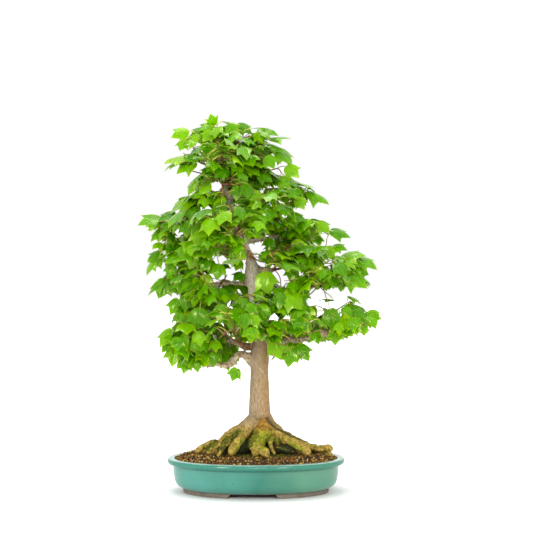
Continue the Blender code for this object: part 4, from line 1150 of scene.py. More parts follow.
chance = np.random.default_rng(63)
likely = (tints["moss"] * (1 - 0.3 * tints["shade"])) ** 2 * (outward[:, 2] > -0.2)
tufted = chance.choice(len(skin), TUFT_COUNT, p=likely / likely.sum())
tuft_ways = outward[tufted] + 0.4 * UP
tuft_ways = unit(tuft_ways + TUFT_SPREAD * chance.normal(size=(TUFT_COUNT, 3)))
tuft_feet = skin[tufted] + 0.0008 * chance.normal(size=(TUFT_COUNT, 3))
tuft_feet -= 0.0002 * tuft_ways
ground_x, ground_y = chance.normal(GROUND_CENTRE, GROUND_SPREAD, (GROUND_TUFTS, 2)).T
ground_z = soil_height(ground_x, ground_y) + chance.uniform(-0.0005, 0.003, GROUND_TUFTS)
tuft_feet = np.vstack([tuft_feet, np.stack([ground_x, ground_y, ground_z], axis=-1)])
tuft_ways = np.vstack([tuft_ways, unit(UP + 0.7 * chance.normal(size=(GROUND_TUFTS, 3)))])
tuft_lengths = chance.uniform(*TUFT_LENGTHS, len(tuft_feet))
tuft_points, tuft_faces = spikes(tuft_feet, tuft_ways, tuft_lengths, TUFT_WIDTH)
moss_stuffs = [dull_stuff("bright moss", "#74780a", "#a4a01e", 5.0),
               dull_stuff("dark moss", "#2e3406", "#54560a", 5.0)]
bright_share = 0.12 + 0.5 * smooth_step(-0.02, 0.0, tuft_feet[:, 0])
# Tufts in the painted shade are mostly dark moss: painted shade on the tufts.
bright_share[:TUFT_COUNT] *= 1 - tints["shade"][tufted]
bright_share[TUFT_COUNT:] *= 0.3
tuft_kinds = np.repeat((chance.random(len(tuft_feet)) > bright_share).astype(int), 4)
moss = new_piece("moss_tufts", tuft_points + MIDDLE, tuft_faces.tolist(), moss_stuffs, tuft_kinds,
                 smooth=False)
finish_piece(moss, "soil")

# %% [markdown]
# The crown is made of masses, and each solid mass of the frame marks one room:
# its box gives an ellipsoid, and flat walls part it from its neighbours. Its
# shoots grow in that room from where the solid's stem meets its bough. One round
# cloud of leaves would be simpler, but then the sky would not show between the
# tiers, as it does on a trained tree.

# %% Rooms of the masses
Room = namedtuple("Room", "name centre radii out seat way walls")
ROOM_EASE = 0.002
WALL_EASE = 0.012


def node_points(name):
    """Points of a solid of the frame, counted from the middle of the pot."""
    return read_out(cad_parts[name].data.vertices, "co", 3) - MIDDLE


def limb_tree():
    """All the solid limbs in one search tree."""
    names = ["trunk"] + [bough.name for bough in BOUGHS]
    points, faces = joined(
        (node_points(name), [face.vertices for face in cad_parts[name].data.polygons])
        for name in names)
    return BVHTree.FromPolygons(points.tolist(), faces)


def room_of(name, limbs_near):
    """Ellipsoid of a mass's box, and the seat where its stem comes nearest to a limb."""
    points = node_points(name)
    low, high = points.min(axis=0), points.max(axis=0)
    centre = (low + high) / 2
    gaps = [limbs_near.find_nearest(point) for point in points]
    nearest = int(np.argmin([gap[3] for gap in gaps]))
    seat = np.array(gaps[nearest][0])
    middle, _ = trunk_at(min(centre[2], TRUNK_LINE[-1][2]))
    out = centre - middle
    out[2] = 0.0
    return Room(name, centre, (high - low) / 2 + ROOM_EASE, unit(out), seat,
                unit(points[nearest] - seat), [])


def part_rooms(rooms):
    """Put a wall between each two rooms, where their reaches toward each other meet."""
    for one, other in itertools.permutations(rooms, 2):
        gap = other.centre - one.centre
        distance = norm(gap)
        normal = gap / distance
        mine = norm(one.radii * normal)
        theirs = norm(other.radii * normal)
        place = one.centre + gap * mine / (mine + theirs)
        one.walls.append((normal, normal @ place + WALL_EASE))


def room_holds(room, points, proud=0.0):
    """Whether all the points are in the room, or stand out of its ellipsoid a little."""
    local = (points - room.centre) / (room.radii + proud)
    if np.any(np.sum(local ** 2, axis=1) > 1.0):
        return False
    normals = np.array([normal for normal, _ in room.walls])
    limits = np.array([limit for _, limit in room.walls])
    return bool(np.all(points @ normals.T <= limits))


mass_names = sorted(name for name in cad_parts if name.startswith("leaves_"))
limbs_near = limb_tree()
rooms = [room_of(name, limbs_near) for name in mass_names]
part_rooms(rooms)
print("rooms:", len(rooms))

# %% [markdown]
# What the photo shows of the crown is kept as picture places: the outline that no
# leaf crosses, the openings where the sky shows through, and the stretches of
# trunk that no leaf hides. They only rule leaves out. Every leaf still grows from
# a twig, so that the tree stays a tree from the other sides.

# %% What shows from the front
SKY_WINDOWS = np.array([
    (243, 131, 249, 136), (250, 178, 256, 183), (212, 183, 220, 191), (259, 153, 264, 158),
    (263, 205, 270, 210), (282, 198, 288, 203), (282, 211, 287, 217), (197, 162, 204, 168),
    (203, 146, 209, 149), (176, 229, 185, 236), (170, 271, 176, 276), (206, 252, 212, 259),
    (213, 258, 222, 263), (210, 276, 216, 281), (226, 270, 233, 279), (233, 267, 246, 271),
    (243, 271, 246, 280), (193, 283, 198, 289), (209, 304, 214, 311), (229, 291, 235, 295),
    (149, 297, 158, 302), (241, 290, 246, 295), (186, 311, 192, 316), (216, 320, 223, 325),
    (201, 330, 206, 336), (229, 340, 237, 344), (253, 243, 262, 252), (267, 236, 275, 241),
    (272, 164, 284, 174), (281, 246, 287, 250), (309, 230, 313, 236), (324, 237, 329, 241),
    (266, 269, 283, 274), (277, 275, 285, 286), (297, 271, 302, 276), (325, 264, 331, 269),
    (288, 284, 293, 289), (265, 293, 271, 299), (298, 308, 303, 313), (319, 310, 323, 315),
    (273, 315, 278, 319), (288, 316, 296, 319), (312, 323, 316, 326), (337, 312, 341, 318),
    (310, 290, 345, 295), (308, 300, 334, 306), (335, 294, 346, 299), (269, 350, 272, 357),
])
TRUNK_WINDOWS = np.array([
    (244, 343, 270, 376), (248, 255, 258, 297), (222, 178, 232, 203), (217, 155, 222, 164),
    (224, 351, 248, 366), (213, 280, 248, 288), (284, 336, 314, 345), (312, 330, 332, 343),
    (223, 246, 229, 258), (259, 264, 272, 271), (219, 328, 240, 350), (249, 241, 255, 256),
    (236, 229, 241, 238),
])
OUTLINE = np.array([
    (205, 121), (206, 116), (211, 112), (215, 116), (221, 115), (221, 121), (240, 121), (252, 127),
    (257, 124), (268, 127), (277, 132), (272, 136), (283, 133), (290, 135), (272, 139), (268, 143),
    (280, 145), (296, 160), (290, 159), (276, 154), (277, 160), (285, 164), (292, 164), (301, 175),
    (289, 179), (300, 180), (314, 186), (324, 190), (331, 199), (324, 202), (308, 196), (308, 204),
    (303, 210), (290, 207), (297, 210), (288, 211), (300, 213), (311, 218), (325, 222), (332, 230),
    (342, 231), (350, 234), (340, 240), (330, 237), (325, 242), (334, 243), (347, 246), (346, 249),
    (337, 251), (352, 249), (362, 252), (362, 256), (379, 263), (371, 267), (370, 273), (368, 279),
    (374, 288), (366, 290), (352, 285), (342, 292), (332, 288), (322, 293), (310, 288), (308, 296),
    (318, 296), (334, 298), (341, 299), (349, 295), (363, 301), (353, 304), (370, 309), (380, 314),
    (376, 321), (382, 325), (371, 330), (362, 338), (356, 332), (346, 339), (335, 343),
    (322, 341.5), (302, 342), (305, 348), (312, 352), (310, 360), (303, 364), (298, 360),
    (288, 367), (284, 360), (270, 362), (267, 345), (246, 343), (240, 361), (241, 377), (233, 382),
    (227, 374), (225, 367), (200, 368), (199, 374), (191, 369), (183, 376), (180, 368), (172, 367),
    (167, 355), (162, 351), (158, 345), (161, 338), (170, 326), (175, 314), (168, 314), (170, 305),
    (180, 298), (173, 293), (168, 299), (158, 302), (155, 290), (145, 292), (150, 284), (163, 279),
    (166, 270), (158, 264), (152, 268), (142, 273), (148, 262), (148, 251), (159, 250), (160, 246),
    (152, 245), (158, 240), (149, 239), (150, 233), (160, 230), (148, 230), (142, 228), (149, 222),
    (138, 222), (145, 215), (156, 214), (170, 211), (180, 208), (168, 208), (170, 202), (188, 196),
    (198, 191), (184, 194), (187, 186), (194, 177), (202, 173), (204, 169), (196, 166), (186, 171),
    (176, 173), (176, 169), (184, 164), (164, 170), (162, 163), (172, 157), (186, 155), (196, 150),
    (186, 153), (192, 147), (180, 151), (176, 146), (180, 142), (173, 141), (172, 134), (188, 127),
    (198, 126),
])
OUTLINE_EASE = 0.6
print("outline points:", len(OUTLINE))

# %% Tests of what shows
def inside_outline(across, down):
    """Which places lie in the outline: a line to the right meets it an odd number of times."""
    start_x, start_y = OUTLINE.T
    stop_x, stop_y = np.roll(OUTLINE, -1, axis=0).T
    x = across[:, None]
    y = down[:, None]
    spans = (start_y > y) != (stop_y > y)
    slope = (stop_x - start_x) / np.where(stop_y == start_y, 1e-9, stop_y - start_y)
    return np.sum(spans & (x < start_x + slope * (y - start_y)), axis=1) % 2 == 1


def in_windows(windows, across, down):
    """Which picture places lie in one of the windows: left, top, right and bottom."""
    left, top, right, bottom = windows.T[..., None]
    inside = (across > left) & (across < right) & (down > top) & (down < bottom)
    return inside.any(axis=0)


def shows_well(points):
    """Whether a leaf keeps inside the outline and out of the sky and trunk windows."""
    seen = seen_at(points)
    drawn_in = seen + unit(OUTLINE.mean(axis=0) - seen) * OUTLINE_EASE
    if not inside_outline(*drawn_in.T).all() or in_windows(SKY_WINDOWS, *seen.T).any():
        return False
    middle, _ = trunk_at(min(points[0, 2], TRUNK_LINE[-1][2]))
    if points[0, 1] > middle[1]:
        return True
    return not in_windows(TRUNK_WINDOWS, *seen.T).any()


print("middle of the crown:", OUTLINE.mean(axis=0).round(), "px")

# %% [markdown]
# Shoots grow by the solids' seeded rule, only finer. A mass's stem curves from its
# seat to past the middle of its room. Twig tips are spread by a sequence that
# fills space without clumps, and each joins the nearest earlier twig, with a
# share of the way back to the seat counted in, so that forks open outward. Each
# tip carries opposite pairs of leaves, as maples do.

# %% Growth of the shoots
STEM_RINGS = 9
STEM_SHARE = 0.32
STEM_PAST_MIDDLE = 0.15
SPREAD_RATIO = 1.22074408
TIP_REACH = 0.9
TIP_SPACING = 0.0215
TIP_CANDIDATES = 180
WAY_BACK = 0.5
PAIR_SPREADS = (38, 112, 74)
PAIR_STEP = 0.0085
LEAF_TRIES = 8
LEAF_SIZES = (0.024, 0.039)
LEAF_APART = 0.01
LEAF_PROUD = 0.016
LIMB_EASE = 0.002
PETIOLES = (0.012, 0.028)
PETIOLE_RISE = (-5, 40)
CROWN_LOW = 0.2
CROWN_HIGH = 0.58
DROOPS = (44, 12)
DROOP_SPREAD = (-24, 28)
ROLL_SPREAD = 22
TIP_INSET = 6.0 * np.array([[1, -1, 0, 0], [0, 0, 1, -1]])
COVER_STEP = 5.0
COVER_GAP = 6.8
COVER_DEPTH = (-0.75, 0.35)
Leaf = namedtuple("Leaf", "node base ahead right up length")

solid_limbs = [trunk_limb()] + [bough_path(bough) for bough in BOUGHS]
limb_starts, limb_ends, limb_radii = (np.concatenate(parts) for parts in zip(*(
    (path[:-1], path[1:], radii[:-1]) for path, radii in solid_limbs)))


def limb_gap(points):
    """Least distance from the points to the limbs' surfaces: point to segment, less the radius."""
    way = limb_ends - limb_starts
    offset = points[:, None] - limb_starts[None]
    share = np.clip(np.sum(offset * way, axis=2) / np.sum(way * way, axis=1), 0.0, 1.0)
    return np.min(norm(offset - share[..., None] * way, axis=2) - limb_radii)


def stem_path(room):
    """Quadratic curve from the seat, first along its way, then to past the room's middle."""
    goal = room.centre + room.out * room.radii[:2].mean() * STEM_PAST_MIDDLE
    pull = room.seat + room.way * norm(goal - room.seat) * STEM_SHARE
    return bent(room.seat, pull, goal, np.linspace(0.0, 1.0, STEM_RINGS)[:, None])


def tip_places(room, shift):
    """The k-th place is the fractional part of k / ratio^1, ^2 and ^3, where it is in the ball."""
    powers = SPREAD_RATIO ** -np.arange(1.0, 4.0)
    local = 2 * np.mod(shift + np.outer(np.arange(TIP_CANDIDATES), powers), 1.0) - 1
    local = local[norm(local, axis=1) < 1.0]
    return room.centre + TIP_REACH * local * room.radii


def leaf_frame(heading, droop, roll):
    """Directions of a leaf: ahead, right and up, from its level heading, droop and roll."""
    level = level_way(heading)
    ahead = level * math.cos(droop) - UP * math.sin(droop)
    right = np.array([level[1], -level[0], 0.0])
    up = np.cross(right, ahead)
    rolled = right * math.cos(roll) + up * math.sin(roll)
    return ahead, rolled, up * math.cos(roll) - right * math.sin(roll)


LEAF_OUTPOSTS = np.array([
    (0.0, 0.0, 0.0), (0.0, 0.5, -0.05), (0.0, 0.97, -0.22), (0.5, 0.66, -0.22),
    (-0.5, 0.66, -0.22), (0.34, 0.2, -0.06), (-0.34, 0.2, -0.06), (0.2, 0.8, -0.17),
    (-0.2, 0.8, -0.17), (0.44, 0.44, -0.14), (-0.44, 0.44, -0.14),
])


def leaf_outposts(base, ahead, right, up, length):
    """Eleven places on a bent leaf, for testing where it lies: base, middle, tips and rim."""
    return base + length * LEAF_OUTPOSTS @ np.stack([right, ahead, up])


def place_leaf(room, node, heading, chance, centres, proud):
    """One leaf on its petiole, or nothing where no try fits."""
    share = min(max((node[2] - CROWN_LOW) / (CROWN_HIGH - CROWN_LOW), 0.0), 1.0)
    usual = DROOPS[0] + (DROOPS[1] - DROOPS[0]) * share
    for attempt in range(LEAF_TRIES):
        loose = 0.12 * (1 + attempt)
        turn = heading + chance.uniform(-loose, loose)
        rise = math.radians(chance.uniform(*PETIOLE_RISE))
        reach = chance.uniform(*PETIOLES) * (1 - 0.06 * attempt)
        base = node + reach * (level_way(turn) * math.cos(rise) + UP * math.sin(rise))
        droop = math.radians(usual + chance.uniform(*DROOP_SPREAD))
        roll = math.radians(chance.uniform(-ROLL_SPREAD, ROLL_SPREAD))
        length = chance.uniform(*LEAF_SIZES) * (1 - 0.04 * attempt)
        ahead, right, up = leaf_frame(turn + chance.uniform(-0.3, 0.3), droop, roll)
        outposts = leaf_outposts(base, ahead, right, up, length)
        if proud < 1.0 and not room_holds(room, outposts, proud):
            continue
        if limb_gap(outposts) < LIMB_EASE:
            continue
        if centres and np.min(norm(np.array(centres) - outposts[1], axis=1)) < LEAF_APART:
            continue
        if shows_well(outposts) and not hides_shown(outposts[1]):
            centres.append(outposts[1])
            return Leaf(node, base, ahead, right, up, length)
    return None


print("solid limbs:", len(solid_limbs))

# %% [markdown]
# Some leaves are part of the tree's face: the tips that draw its outline, and the
# large ones before the trunk. Each is given by the picture places of its base and
# its tip, how far forward it hangs in mm, and how much it faces the viewer. The
# rest of its length points forward, as the real one's must. Every other leaf is
# left to the rule, which keeps clear of these.

# %% Leaves that show one by one
SHOWN_LEAVES = (
    (214, 126, 211, 116, -8, 1.0), (212, 125, 199, 130, -15, 0.6), (206, 130, 190, 134, -15, 0.5),
    (200, 134, 186, 141, -20, 0.5), (212, 131, 203, 141, -30, 0.7), (188, 130, 172, 137, -20, 0.6),
    (185, 140, 180, 149, -25, 0.6), (196, 141, 183, 145, -25, 0.5), (204, 147, 188, 152, -20, 0.25),
    (217, 150, 200, 158, -50, 0.75), (186, 157, 165, 163, -10, 0.3), (196, 162, 176, 169, -15, 0.35),
    (178, 163, 163, 167, -5, 0.25), (199, 154, 185, 160, -30, 0.5), (211, 168, 202, 175, -20, 0.6),
    (229, 169, 214, 175, -60, 0.6), (237, 124, 253, 131, -10, 0.5), (236, 124, 224, 133, -40, 0.6),
    (258, 130, 278, 133, -10, 0.45), (256, 132, 263, 142, -20, 0.5), (269, 138, 290, 135, 0, 0.2),
    (268, 144, 284, 151, -15, 0.3), (274, 147, 296, 160, -5, 0.25), (266, 156, 274, 168, -45, 0.8),
    (286, 166, 299, 176, -15, 0.7), (243, 138, 257, 143, -40, 0.3), (243, 166, 261, 172, -45, 0.4),
    (258, 172, 272, 181, -40, 0.6), (238, 186, 236, 200, -60, 0.85), (246, 183, 248, 199, -62, 0.8),
    (256, 190, 256, 205, -60, 0.8), (211, 176, 199, 184, -45, 0.6), (198, 179, 186, 192, -20, 0.3),
    (210, 184, 198, 193, -50, 0.6), (224, 196, 212, 205, -60, 0.5), (222, 203, 215, 216, -70, 0.6),
    (195, 197, 168, 207, -15, 0.35), (199, 206, 177, 214, -30, 0.4), (176, 213, 158, 220, -20, 0.4),
    (161, 218, 139, 222, 0, 0.4), (161, 221, 147, 228, -5, 0.3), (172, 220, 162, 231, -25, 0.5),
    (161, 232, 150, 239, -5, 0.4), (187, 221, 187, 237, -60, 0.2), (200, 230, 197, 247, -75, 0.85),
    (216, 238, 215, 256, -70, 0.8), (238, 246, 237, 264, -70, 0.85), (231, 221, 223, 235, -85, 0.85),
    (252, 220, 243, 233, -80, 0.8), (262, 221, 274, 229, -60, 0.6), (162, 243, 153, 247, -5, 0.4),
    (162, 252, 148, 260, -5, 0.5), (160, 256, 152, 268, -10, 0.6), (157, 257, 143, 271, 0, 0.15),
    (178, 254, 166, 262, -40, 0.6), (191, 247, 177, 260, -55, 0.7), (173, 264, 167, 277, -20, 0.6),
    (209, 260, 200, 270, -55, 0.7), (219, 264, 217, 279, -50, 0.7), (240, 260, 236, 270, -25, 0.6),
    (243, 273, 234, 279, -15, 0.7), (206, 274, 206, 290, -40, 0.8), (184, 277, 181, 294, -45, 0.8),
    (166, 279, 159, 297, -15, 0.8), (164, 278, 146, 291, -5, 0.15), (181, 283, 172, 292, -30, 0.6),
    (179, 299, 170, 313, -15, 0.6), (187, 296, 184, 311, -35, 0.5), (196, 291, 194, 306, -50, 0.8),
    (222, 304, 220, 323, -85, 0.9), (234, 312, 231, 330, -80, 0.9), (243, 298, 241, 317, -90, 0.9),
    (268, 306, 254, 320, -85, 0.85), (262, 291, 254, 300, -60, 0.7), (262, 272, 270, 293, -60, 0.9),
    (266, 251, 283, 264, -40, 0.5), (270, 238, 268, 249, -30, 0.7), (272, 247, 284, 251, -35, 0.2),
    (284, 291, 305, 306, -75, 0.6), (280, 292, 279, 309, -80, 0.9), (308, 306, 305, 325, -60, 0.85),
    (330, 309, 333, 329, -50, 0.9), (343, 307, 353, 317, -30, 0.6), (353, 307, 366, 317, -20, 0.4),
    (368, 311, 376, 327, -10, 0.7), (370, 310, 379, 315, 0, 0.3), (356, 320, 368, 331, -20, 0.5),
    (336, 327, 335, 344, -30, 0.9), (273, 339, 280, 358, -70, 0.85), (291, 349, 288, 366, -55, 0.85),
    (297, 345, 309, 359, -50, 0.7), (314, 331, 319, 343, -35, 0.5), (294, 267, 290, 281, -40, 0.8),
    (318, 263, 315, 277, -45, 0.85), (316, 275, 318, 287, -25, 0.6), (334, 270, 333, 288, -30, 0.8),
    (341, 277, 341, 291, -20, 0.8), (346, 271, 366, 286, -25, 0.7), (353, 264, 369, 272, -10, 0.4),
    (355, 258, 378, 263, 0, 0.3), (325, 247, 334, 259, -15, 0.7), (341, 257, 364, 253, -5, 0.4),
    (333, 246, 347, 247, -5, 0.4), (330, 230, 350, 234, -5, 0.45), (317, 222, 330, 230, -20, 0.5),
    (288, 214, 306, 219, -45, 0.5), (297, 197, 304, 209, -35, 0.8), (311, 198, 324, 201, -5, 0.15),
    (307, 190, 330, 199, -5, 0.25), (289, 181, 304, 186, -10, 0.3), (278, 179, 291, 187, -20, 0.7),
    (334, 300, 318, 297, -5, 0.15), (348, 296, 363, 300, -5, 0.08), (352, 304, 366, 309, -5, 0.1),
    (212, 352, 214, 366, -60, 0.8), (215, 340, 216, 351, -65, 0.7), (197, 331, 201, 346, -80, 0.7),
    (195, 338, 198, 353, -75, 0.6), (190, 331, 183, 346, -60, 0.8), (200, 308, 197, 330, -70, 0.85),
    (182, 313, 179, 326, -50, 0.8), (172, 329, 160, 345, -25, 0.5), (174, 338, 162, 351, -20, 0.5),
    (177, 345, 172, 365, -25, 0.6), (187, 360, 184, 373, -40, 0.6), (195, 354, 198, 371, -50, 0.6),
    (237, 368, 232, 380, -45, 0.8),
)
SHOWN_LENGTH = 0.022
SHOWN_PETIOLE = 0.018
HIDE_GAP = 8.0


def shown_leaf(base_across, base_down, tip_across, tip_down, depth, facing):
    """Leaf from its two picture places; what its shown length lacks points to the viewer."""
    base = place_seen(base_across, base_down, depth / 1000)
    flat = place_seen(tip_across, tip_down, depth / 1000) - base
    length = max(SHOWN_LENGTH, 1.05 * norm(flat))
    forward = -math.sqrt(length ** 2 - np.sum(flat ** 2))
    ahead = unit(flat + np.array([0.0, forward, 0.0]))
    toward = np.array([0.0, -facing, 1 - facing])
    up = unit(toward - (toward @ ahead) * ahead)
    return base, ahead, np.cross(ahead, up), up, length


shown = [shown_leaf(*row) for row in SHOWN_LEAVES]
shown_middles = np.array([base + 0.5 * length * ahead for base, ahead, _, _, length in shown])
shown_places = seen_at(shown_middles)


def hides_shown(middle):
    """Whether a leaf with this middle would hang before one of the shown leaves."""
    near = norm(shown_places - seen_at(middle), axis=1) < HIDE_GAP
    return bool(np.any(near & (middle[1] < shown_middles[:, 1] + 0.008)))


print("leaves shown:", len(shown))

# %% Shoots of one mass
class Shoots:
    """Shoots of one mass: their points, each one's parent, and its way back to the seat."""

    def __init__(self, room):
        self.room = room
        self.chance = np.random.default_rng([ord(letter) for letter in room.name])
        self.points = list(stem_path(room))
        self.parents = [None] + list(range(len(self.points) - 1))
        steps = norm(np.diff(self.points, axis=0), axis=1)
        self.travelled = [0.0, *np.cumsum(steps)]
        self.leaves = []

    def joint_for(self, place):
        """Number of the point from which a new twig costs least."""
        grown = np.array(self.points[2:])
        costs = norm(grown - place, axis=1) + WAY_BACK * np.array(self.travelled[2:])
        return 2 + int(np.argmin(costs))

    def gap_to(self, place):
        """Distance from a place to the point it would be joined to."""
        return norm(self.points[self.joint_for(place)] - place)

    def bear_leaves(self, place, way, centres, proud):
        """Opposite pairs of leaves down from a tip; true where at least one finds room."""
        lean = 0.5 * way + 0.5 * self.room.out + 0.8 * unit(place - self.room.centre + 0.001)
        heading = math.atan2(lean[1], lean[0])
        before = len(self.leaves)
        for pair, spread in enumerate(PAIR_SPREADS):
            node = place - way * PAIR_STEP * pair
            for hand in (-1, 1):
                turn = heading + hand * math.radians(spread)
                leaf = place_leaf(self.room, node, turn, self.chance, centres, proud)
                if leaf:
                    self.leaves.append(leaf)
        return len(self.leaves) > before

    def add_twig(self, place, joint):
        """Note a new twig that leaves an earlier point."""
        self.points.append(place)
        self.parents.append(joint)
        self.travelled.append(self.travelled[joint] + norm(place - self.points[joint]))

    def grow_tip(self, place, centres, proud=LEAF_PROUD):
        """A new twig to the place, kept only if it bears a leaf."""
        joint = self.joint_for(place)
        way = unit(place - self.points[joint])
        between = np.linspace(0.3, 1.0, 6)[:, None]
        across, down = seen_at(self.points[joint] * (1 - between) + place * between).T
        rim_across, rim_down = np.array([across[-1], down[-1]])[:, None] + TIP_INSET
        if not inside_outline(np.append(across, rim_across), np.append(down, rim_down)).all():
            return False
        if in_windows(SKY_WINDOWS, across, down).any():
            return False
        if not self.bear_leaves(place, way, centres, proud):
            return False
        self.add_twig(place, joint)
        return True


growths = [Shoots(room) for room in rooms]
print("stems:", len(growths))

# %% Grow the crown
def hang_shown_leaves(growths, centres):
    """Give each shown leaf a petiole and a twig from the nearest shoot."""
    for base, ahead, right, up, length in shown:
        shoots = min(growths, key=lambda one: one.gap_to(base))
        joint = shoots.joint_for(base)
        node = base + SHOWN_PETIOLE * unit(shoots.points[joint] - base)
        shoots.add_twig(node, joint)
        shoots.leaves.append(Leaf(node, base, ahead, right, up, length))
        centres.append(base + 0.5 * length * ahead)


def fill_room(shoots, centres):
    """Grow one mass: leaves at the stem's end, then twigs to the spread places in reach."""
    room = shoots.room
    stem = shoots.points[:STEM_RINGS]
    shoots.bear_leaves(stem[-1], unit(stem[-1] - stem[-2]), centres, LEAF_PROUD)
    places = tip_places(room, shoots.chance.random())
    tips = [stem[-1]]
    for place in places[np.argsort(norm(places - stem[0], axis=1))]:
        apart = np.min(norm(np.array(tips) - place, axis=1))
        if apart < TIP_SPACING or not room_holds(room, place[None]):
            continue
        if limb_gap(place[None]) > LIMB_EASE and shoots.grow_tip(place, centres):
            tips.append(place)


def open_places():
    """A staggered lattice of picture places in the outline and out of the windows."""
    low, high = OUTLINE.min(axis=0), OUTLINE.max(axis=0)
    across, down = np.meshgrid(np.arange(low[0], high[0], COVER_STEP),
                               np.arange(low[1], high[1], COVER_STEP * 0.866))
    across[1::2] += COVER_STEP / 2
    across, down = across.ravel(), down.ravel()
    kept = inside_outline(across, down)
    kept &= ~in_windows(np.vstack([SKY_WINDOWS, TRUNK_WINDOWS]), across, down)
    return np.stack([across, down], axis=-1)[kept]


def cover_gaps(growths, centres):
    """Grow a further shoot wherever the front view would show a hole the photo doesn't have."""
    chance = np.random.default_rng(31)
    centres_there = np.array([shoots.room.centre for shoots in growths])
    rooms_seen = seen_at(centres_there)
    sizes_seen = np.array([shoots.room.radii[[0, 2]] for shoots in growths])
    for place in chance.permutation(open_places()):
        covered = seen_at(np.array(centres))
        if np.min(norm(covered - place, axis=1)) < COVER_GAP:
            continue
        order = np.argsort(norm((rooms_seen - place) / sizes_seen, axis=1))
        for number in order[:3]:
            shoots = growths[number]
            depth = shoots.room.centre[1] + chance.uniform(*COVER_DEPTH) * shoots.room.radii[1]
            if shoots.grow_tip(place_seen(*place, depth), centres, proud=1.0):
                break


leaf_centres = []
hang_shown_leaves(growths, leaf_centres)
for shoots in growths:
    fill_room(shoots, leaf_centres)
print("leaves shown and grown in the rooms:", len(leaf_centres))
cover_gaps(growths, leaf_centres)
leaves = [leaf for shoots in growths for leaf in shoots.leaves]
print("leaves:", len(leaves), "shoots:", sum(len(shoots.points) for shoots in growths))

# %% [markdown]
# A twig is as thick as its load asks for: its radius grows with the number of tips
# beyond it, to a power a little under one half, as in real trees. Young maple wood
# is red-brown and smooth. Straight rods would look like wire, so every twig is a
# short curved tube that leaves its parent along the parent's way.

# %% Twigs
TIP_RADIUS = 0.00065
THICKENING = 0.4
TWIG_SIDES = 6
TWIG_RINGS = 6
STEM_FOOT = 0.0024
SHOWN_SHOOTS = (
    ((248, 349, -8, 2.2), (240, 344, -16, 2), (232, 339, -24, 1.8), (223, 332, -30, 1.5),
     (215, 325, -34, 1)),
    ((247, 348, -10, 1.8), (241, 342, -18, 1.6), (234, 334, -26, 1.3), (229, 326, -30, 0.9)),
    ((221, 284, -6, 1.3), (224, 280, -9, 1.1), (227, 275, -12, 0.8)),
    ((271, 270, -8, 1.1), (276, 271.5, -14, 0.9), (280, 278, -18, 0.8), (281, 288, -20, 0.7)),
    ((287, 291, -8, 2), (295, 288, -12, 1.9), (308, 287, -16, 1.8), (320, 283, -18, 1.5),
     (328, 278.5, -20, 1.2), (333, 275, -20, 0.9)),
    ((294, 288, -12, 1.5), (299, 283, -16, 1.2), (304, 277, -20, 1), (308, 273, -22, 0.7)),
    ((302, 293, -14, 1.3), (310, 287.5, -18, 1.2), (318, 283.5, -22, 1), (326, 281, -26, 0.7)),
    ((196, 295, -30, 0.8), (206, 299, -24, 1), (219, 304, -18, 1.2)),
    ((331, 334, -14, 1.4), (337, 326, -16, 1.2), (340, 312, -16, 0.8)),
    ((250, 348, -16, 1.8), (253, 341, -22, 1.4), (258, 333, -28, 1)),
)


def twig_arrays():
    """Paths and radii of all the twigs: curves of three points, thicker toward the seat."""
    paths = []
    radii = []
    for shoots in growths:
        points, parents = shoots.points, shoots.parents
        load = np.ones(len(points))
        for number in range(len(points) - 1, 0, -1):
            load[parents[number]] += load[number]
        width = np.minimum(TIP_RADIUS * load ** THICKENING, STEM_FOOT)
        for number in range(1, len(points)):
            parent = parents[number]
            start = points[parent]
            stop = points[number]
            before = points[parents[parent]] if parents[parent] is not None else start
            length = norm(stop - start)
            pull = start + 0.35 * length * unit(start - before + 0.3 * (stop - start))
            t = np.linspace(-0.04, 1.03, TWIG_RINGS)[:, None]
            paths.append(bent(start, pull, stop, t))
            foot = min(width[parent], width[number] * 1.45)
            radii.append(np.linspace(foot, width[number], TWIG_RINGS))
    return np.array(paths), np.array(radii)


long_shoots = [shown_limb(places) for places in SHOWN_SHOOTS]
twig_points, twig_faces = joined(
    [tubes(*twig_arrays(), TWIG_SIDES)]
    + [tubes(path[None], radii[None], TWIG_SIDES) for path, radii in long_shoots])
print("long shoots:", len(long_shoots))
young_bark = dull_stuff("young red-brown bark", "#6c4028", "#a46c4c", 6.0, 0.6, 0.3)
twigs = new_piece("twigs", twig_points + MIDDLE, twig_faces, [young_bark])
finish_piece(twigs, "bough_bark")

# %% [markdown]
# Each leaf hangs on a petiole, a thin yellow-green stalk that rises from the twig
# and nods under the blade. A curve object could draw it, but one sweep makes all.

# %% Petioles
PETIOLE_RADIUS = 0.0007
PETIOLE_RINGS = 4

nodes_at, bases, aheads, rights, ups, lengths = (np.array(part) for part in zip(*leaves))

t = np.linspace(0.0, 1.0, PETIOLE_RINGS)[None, :, None]
spans = norm(bases - nodes_at, axis=1)[:, None]
pulls = nodes_at + (bases - nodes_at) * 0.55 + UP * spans * 0.18
ends = bases + aheads * 0.0015
petiole_paths = bent(nodes_at[:, None], pulls[:, None], ends[:, None], t)
petiole_radii = np.full(petiole_paths.shape[:2], PETIOLE_RADIUS)
petiole_points, petiole_faces = tubes(petiole_paths, petiole_radii, 4)
stalk = dull_stuff("yellow-green leaf stalk", "#a4ac34", "#d2cc54", 8.0, 0.45)
petioles = new_piece("petioles", petiole_points + MIDDLE, petiole_faces, [stalk])
finish_piece(petioles, "foliage")

# %% [markdown]
# The blade has the three forward lobes that name the tree. One outline of two dozen
# points is drawn once, and every leaf is that pattern bent in its own way: folded
# along the midrib, curled toward the tip, cupped and ruffled. Flat cards with a
# leaf picture would be quicker, but have no edge and no shine along a curve.

